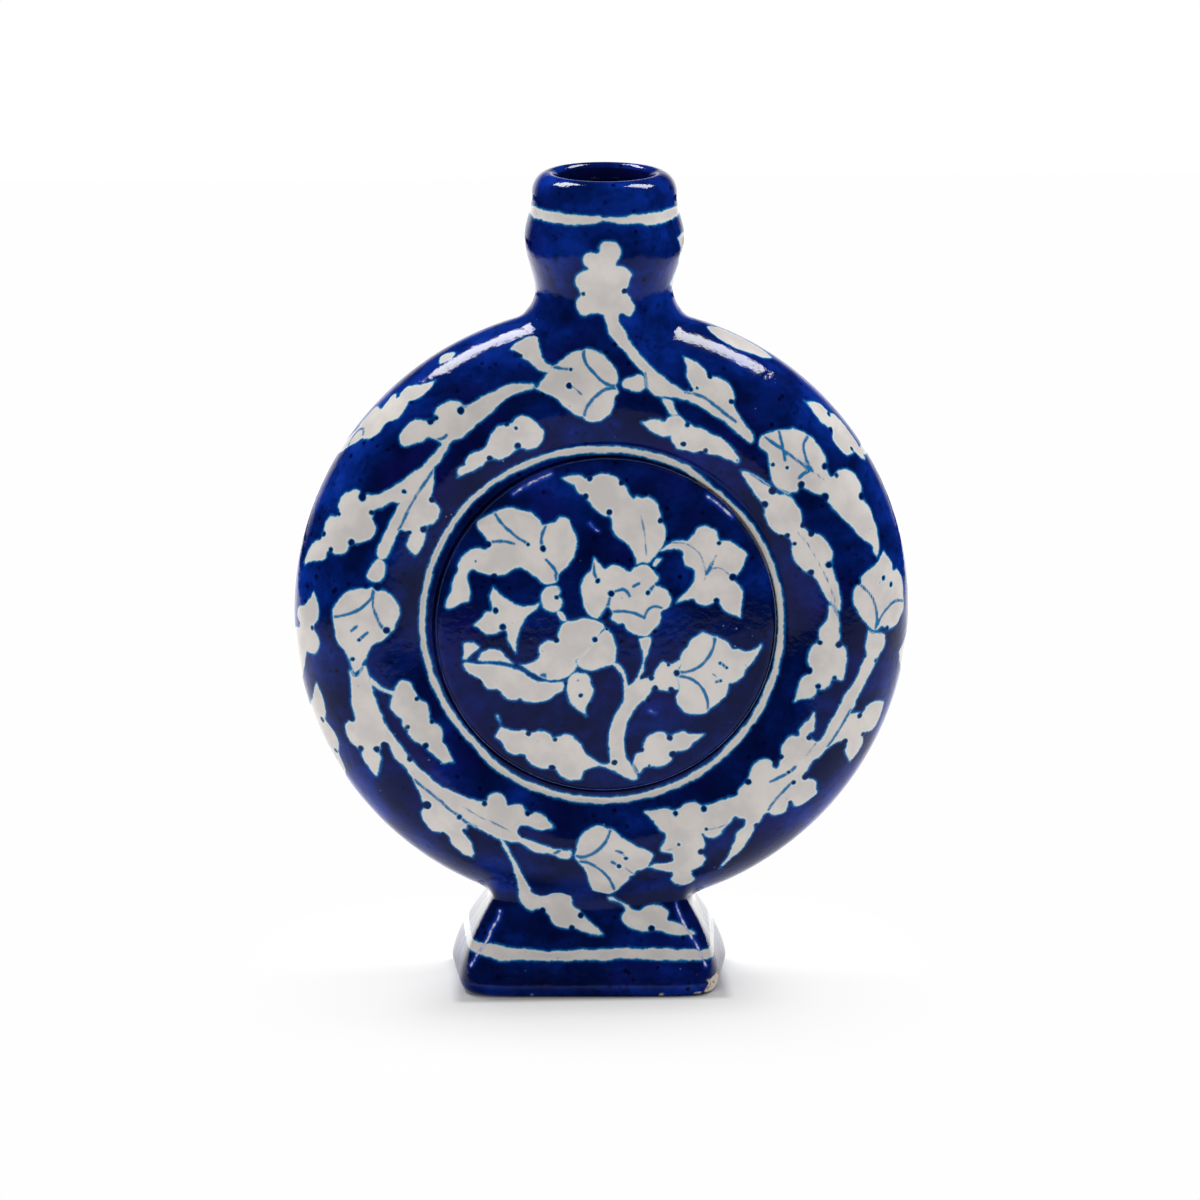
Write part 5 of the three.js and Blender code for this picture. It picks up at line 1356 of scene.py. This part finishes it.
def skin_height(x, y, sink, up):
    """The height of the body's skin at a place in plan, sunk by so many millimetres."""
    lean = np.sqrt(np.maximum(1 - (y / (RING_DEPTH - sink)) ** 2, 0))
    reach = RING_RADIUS + (RING_WIDTH - sink) * lean
    return CENTRE + (1 if up else -1) * np.sqrt(np.maximum(reach**2 - x**2, 0))


def dipped_rows(trail, ends, rows, axis, sine, cosine):
    """Even rows along a walk to its end, then a tail that dips under the body's skin."""
    marks = np.arange(len(trail)) * WALK_STEP
    goals = [ends * share for share in np.linspace(0, 1, rows)]
    goals += [ends + TAIL_STEP * (i + 1) for i in range(len(TAIL_DIPS))]
    made = []
    for goal, dip in zip(goals, [0.0] * rows + list(TAIL_DIPS)):
        out, z = (np.array([np.interp(goal[k], marks, trail[:, k, i]) for k in range(len(sine))])
                  for i in (0, 1))
        point = np.stack([axis + out * sine, -out * cosine, z], -1)
        radius = np.hypot(point[:, 0], point[:, 2] - CENTRE)
        lean = (radius - RING_RADIUS) / RING_WIDTH**2 / radius
        inward = np.stack([point[:, 0] * lean, point[:, 1] / RING_DEPTH**2,
                           (point[:, 2] - CENTRE) * lean], -1)
        inward /= np.linalg.norm(inward, axis=1, keepdims=True)
        made.append(point - inward * dip)
    return np.array(made)


print("the tail of a walk dips", TAIL_DIPS[-1], "mm under the skin")

# %% The walk
FEELER = 0.01
FILLED = 0.01


def walk(angles, axis, start, wall, fillet, down, length, rows):
    """Rows of points from the wall onto the body, one walk for each angle round the axis."""
    sine, cosine = np.sin(angles), np.cos(angles)
    ahead = 1.0 if down else -1.0

    def joined(out, z):
        body = body_gap(axis + out * sine, -out * cosine, z)
        side = out - wall(angles, z)
        width = fillet(z)
        fill = (np.maximum(width - np.abs(body - side), 0) / width) ** 2 * width / 4
        return np.minimum(body, side) - fill, fill, body < side

    z = np.full(len(angles), float(start))
    out = wall(angles, z)
    trail, landed = [], []
    for _ in range(int(length / WALK_STEP)):
        trail.append(np.stack([out, z], -1))
        _, fill, on_body = joined(out, z)
        landed.append(on_body & (fill < FILLED))
        slope_out = (joined(out + FEELER, z)[0] - joined(out - FEELER, z)[0]) / (2 * FEELER)
        slope_z = (joined(out, z + FEELER)[0] - joined(out, z - FEELER)[0]) / (2 * FEELER)
        size = np.maximum(np.hypot(slope_out, slope_z), 1e-6)
        out = out + ahead * slope_z / size * WALK_STEP
        z = z - ahead * slope_out / size * WALK_STEP
        stray = joined(out, z)[0]
        out = out - stray * slope_out / size**2
        z = z - stray * slope_z / size**2
    landed = np.array(landed)
    ends = np.where(landed.any(0), landed.argmax(0), len(trail) - 1) * WALK_STEP
    ends = np.minimum(ends, length - TAIL_STEP * (len(TAIL_DIPS) + 1))
    return dipped_rows(np.array(trail), ends, rows, axis, sine, cosine)


def unrolled_layout(grid, height=0.99, margin=0.005):
    """Lay a tube out flat: angle across, the length of its profile up."""
    lengths = np.linalg.norm(np.diff(grid, axis=0), axis=2).mean(1)
    up = np.concatenate([[0], np.cumsum(lengths)]) / lengths.sum() * height
    across = np.linspace(margin, 1 - margin, grid.shape[1] + 1)
    return np.stack(np.broadcast_arrays(across, up[:, None]), -1)


print("the walk takes", int(30 / WALK_STEP), "steps over 30 mm")

# %% [markdown]
# ## The neck
# The neck is thrown on the wheel: a waist on the shoulder, a swelling belly and a thick rolled lip round a
# straight passage. The passage runs down through the body as a thin sleeve. The lip leans back by a few
# degrees, as the neck sagged a little before the firing.

# %% Throw the neck
WAIST, WAIST_RISE = 18.4, 2.8
BELLY, BELLY_RISE = 21.3, 18.0
LIP, LIP_START, LIP_CREST = 19.2, 29.5, 14.6
LIP_INNER, LIP_LIFT = 4.6, 0.6
PASSAGE = 12.2
ROW_STEP = 0.4
SKIRT_RISE = 13.0
NECK_FILLET = 7.0


def eased(share):
    """A smooth step from 0 to 1."""
    return (1 - np.cos(math.pi * np.clip(share, 0, 1))) / 2


def neck_wall(angles, z):
    """The outside radius of the neck at a height."""
    rise = z - BODY_TOP
    swelling = WAIST + (BELLY - WAIST) * eased((rise - WAIST_RISE) / (BELLY_RISE - WAIST_RISE))
    return swelling + (LIP - BELLY) * eased((rise - BELLY_RISE) / (LIP_START - BELLY_RISE)) + 0 * angles


def neck_fillet(z):
    """The softness of the joint, tight again on the face of the ring."""
    return NECK_FILLET * np.clip((z - BODY_TOP + 12) / 11, 0.35, 1)


lip_top = BODY_TOP + NECK_LENGTH + LIP_LIFT
roll_height = NECK_LENGTH - LIP_START
quarter = math.pi / 2
lip_rows = [(LIP_CREST - (LIP_CREST - PASSAGE) * math.cos(t), lip_top - LIP_INNER * (1 - math.sin(t)))
            for t in np.linspace(0, quarter, 12)]
lip_rows += [(LIP_CREST + (LIP - LIP_CREST) * math.sin(t), lip_top - roll_height * (1 - math.cos(t)))
             for t in np.linspace(0, quarter, 18)[1:]]
belly_rows = [(float(neck_wall(0, z)), z)
              for z in np.arange(BODY_TOP + LIP_START - ROW_STEP, BODY_TOP + SKIRT_RISE + 0.2, -ROW_STEP)]
passage_rows = [(PASSAGE, z) for z in np.linspace(BODY_TOP + 2, lip_top - LIP_INNER - 0.6, 12)]
print("rows of the lip and the belly:", len(lip_rows), len(belly_rows))

# %% Set the neck on the shoulder
NECK_AROUND = 380
LIP_LEAN = math.tan(math.radians(2.4))
SLEEVE = 0.7
SADDLE_SINK = 0.8
SLEEVE_SINK = WALL + 0.6

neck_angles = np.linspace(-math.pi, math.pi, NECK_AROUND, endpoint=False)


def saddle_row(reach, sink):
    """A ring that follows the body's skin from inside."""
    x, y = NECK_X + reach * np.sin(neck_angles), -reach * np.cos(neck_angles)
    return np.stack([x, y, skin_height(x, y, sink, True)], -1)


level_rows = np.array([
    np.stack([NECK_X + r * np.sin(neck_angles), -r * np.cos(neck_angles), 0 * neck_angles + z], -1)
    for r, z in passage_rows + lip_rows + belly_rows])
skirt = walk(neck_angles, NECK_X, BODY_TOP + SKIRT_RISE, neck_wall, neck_fillet, True, 40, 80)
skirt_reach = np.hypot(skirt[-1, :, 0] - NECK_X, skirt[-1, :, 1])
under = [saddle_row(skirt_reach + (PASSAGE + SLEEVE - skirt_reach) * share_in, SADDLE_SINK)
         for share_in in (0.3, 0.65, 1.0)]
sleeve = [saddle_row(radius + 0 * neck_angles, SLEEVE_SINK) for radius in (PASSAGE + SLEEVE, PASSAGE)]
neck_grid = np.concatenate([level_rows, skirt, under, sleeve])
neck_grid[..., 2] += LIP_LEAN * neck_grid[..., 1] * eased((neck_grid[..., 2] - BODY_TOP - 6) / 22)
unpainted = np.ones(neck_grid.shape[:2], bool)
unpainted[len(passage_rows) + 6:len(level_rows) + len(skirt)] = False
neck_paint = {kind: np.where(unpainted.ravel(), OUTSIDE, depth)
              for kind, depth in neck_drawing(neck_grid.reshape(-1, 3)).items()}
neck_skin, _ = clay_skin("thrown_neck", neck_grid, unrolled_layout(neck_grid), neck_paint)
fit_for(neck_skin, "neck", "neck_joint_slip")

# %% [markdown]
# ## The foot
# The foot is an oblong pedestal, open below, that spreads towards the ground. Its section is a superellipse,
# an oval with squared shoulders. It was set by hand, so it is turned a few degrees, and it is a little
# narrower in front than behind. Its front right corner has lost a chip of glaze, and the bare clay shows.

# %% Shape the foot
FOOT_AROUND = 600
FOOT_HEIGHT = 26.0
FOOT_TOP_HALF = (26.4, 15.2)
FOOT_POWER = 7.5
FOOT_TURN = math.radians(2.7)
FOOT_TAPER = 0.125
FOOT_FILLET = 3.0
foot_half = ((foot_high[0] - foot_low[0]) / 2 - 1.1, (foot_high[1] - foot_low[1]) / 2)


def foot_wall(angles, z, inset=0.0):
    """The outside reach of the foot at an angle and a height."""
    height = np.clip(z / FOOT_HEIGHT, 0, 1)
    flare = np.cos(height * math.pi / 2)
    sine, cosine = np.sin(angles + FOOT_TURN), np.cos(angles + FOOT_TURN)
    wide = FOOT_TOP_HALF[0] + (foot_half[0] - FOOT_TOP_HALF[0]) * flare - inset
    deep = FOOT_TOP_HALF[1] + (foot_half[1] - FOOT_TOP_HALF[1]) * (1 - height) - inset
    side = np.abs(sine) + FOOT_TAPER * flare * cosine * np.abs(sine)
    across = (side / wide) ** FOOT_POWER + np.abs(cosine / deep) ** FOOT_POWER
    return across ** (-1 / FOOT_POWER)


# Columns at even distances round the foot, so that its corners get as many as its faces
fine_angles = np.linspace(-math.pi, math.pi, 20001)
fine_reach = foot_wall(fine_angles, 12.0 + 0 * fine_angles)
fine_steps = np.hypot(np.diff(fine_reach * np.sin(fine_angles)), np.diff(fine_reach * np.cos(fine_angles)))
girth = np.concatenate([[0], np.cumsum(fine_steps)])
foot_angles = np.interp(np.linspace(0, girth[-1], FOOT_AROUND, endpoint=False), girth, fine_angles)
print("the foot is", round(girth[-1]), "mm round at half its height")

# %% Build the foot up
FOOT_EDGE = (2.8, 3.6)
FOOT_WALL = 7.0
JOINT_START = 18.0


def foot_row(z, inset=0.0):
    """A level ring of the foot."""
    reach = foot_wall(foot_angles, z + 0 * foot_angles, inset)
    x, y = FOOT_X + reach * np.sin(foot_angles), -reach * np.cos(foot_angles)
    return np.stack([x, y, z + 0 * foot_angles], -1)


edge_rows = [foot_row(FOOT_EDGE[1] * (1 - math.cos(t)), FOOT_EDGE[0] * (1 - math.sin(t)))
             for t in np.linspace(0, math.pi / 2, 12)]
side_rows = [foot_row(z) for z in np.arange(FOOT_EDGE[1] + ROW_STEP, JOINT_START - 0.2, ROW_STEP)]
joint_rows = walk(foot_angles, FOOT_X, JOINT_START, foot_wall, lambda z: FOOT_FILLET + 0 * z, False, 26, 46)
inner = foot_wall(foot_angles, FOOT_HEIGHT + 0 * foot_angles, FOOT_WALL)
outer = np.hypot(joint_rows[-1, :, 0] - FOOT_X, joint_rows[-1, :, 1])
lid = []
for share_in in (0.5, 1.0):
    reach_in = outer + (inner - outer) * share_in
    lid_x, lid_y = FOOT_X + reach_in * np.sin(foot_angles), -reach_in * np.cos(foot_angles)
    lid.append(np.stack([lid_x, lid_y, skin_height(lid_x, lid_y, SADDLE_SINK, False)], -1))
hollow = [foot_row(z, FOOT_WALL) for z in np.linspace(18, 0.6, 8)] + [foot_row(0.0, FOOT_WALL - 0.8)]
foot_grid = np.concatenate([edge_rows, side_rows, joint_rows, lid, hollow])
foot_points = foot_grid.reshape(-1, 3)
outside_rows = len(edge_rows) + len(side_rows) + len(joint_rows)
print("rows outside and inside the foot:", outside_rows, len(lid) + len(hollow))

# %% [markdown]
# A chip is a shallow bite towards the foot's axis, deepest in its middle, with no paint on it. A few nicks
# along the ground edge only lost their glaze. The bottom of the edge is painted dark, a painted shade for the
# shadow under the foot. The hollow was never glazed.

# %% Paint, chip and place the foot
CHIP_DEPTH, CHIP_SLOPE = 1.2, 0.9
NICK_LENGTH = 1.6
EDGE_SHADE_TOP, EDGE_SHADE_DEPTH = 0.7, 0.5

covered = np.zeros(foot_grid.shape[:2], bool)
covered[1:outside_rows] = True
covered = covered.ravel()
foot_paint = {kind: np.where(covered, depth, OUTSIDE) for kind, depth in foot_drawing(foot_points).items()}
chip = depth_inside(foot_points[:, [0, 2]], swing(FOOT_CHIP))
chip = np.where((foot_points[:, 1] < 0) & covered, chip, OUTSIDE)
to_axis = np.array([FOOT_X, 0.0]) - foot_points[:, :2]
to_axis /= np.linalg.norm(to_axis, axis=1, keepdims=True)
foot_points[:, :2] += to_axis * np.clip(chip * CHIP_SLOPE, 0, CHIP_DEPTH)[:, None]
for nick_x, nick_z, nick_size in path_points(FOOT_NICKS)[0]:
    nick = nick_size - np.hypot((foot_points[:, 0] - nick_x) / NICK_LENGTH, foot_points[:, 2] - nick_z)
    chip = np.maximum(chip, np.where(foot_points[:, 1] < 0, nick, OUTSIDE))
unglazed = (np.arange(len(foot_grid)) >= outside_rows + len(lid)).repeat(FOOT_AROUND)
foot_paint["bare"] = np.maximum(np.clip(chip / 0.35 + 0.3, 0, 1), unglazed)
# Painted shade: the lowest part of the foot is painted dark, as the shadow under its rounded edge
foot_paint["spot"] = np.where((foot_points[:, 2] < EDGE_SHADE_TOP) & covered, EDGE_SHADE_DEPTH, foot_paint["spot"])
foot_skin, _ = clay_skin("pedestal_foot", foot_grid, unrolled_layout(foot_grid), foot_paint)
fit_for(foot_skin, "foot", "foot_joint_slip")
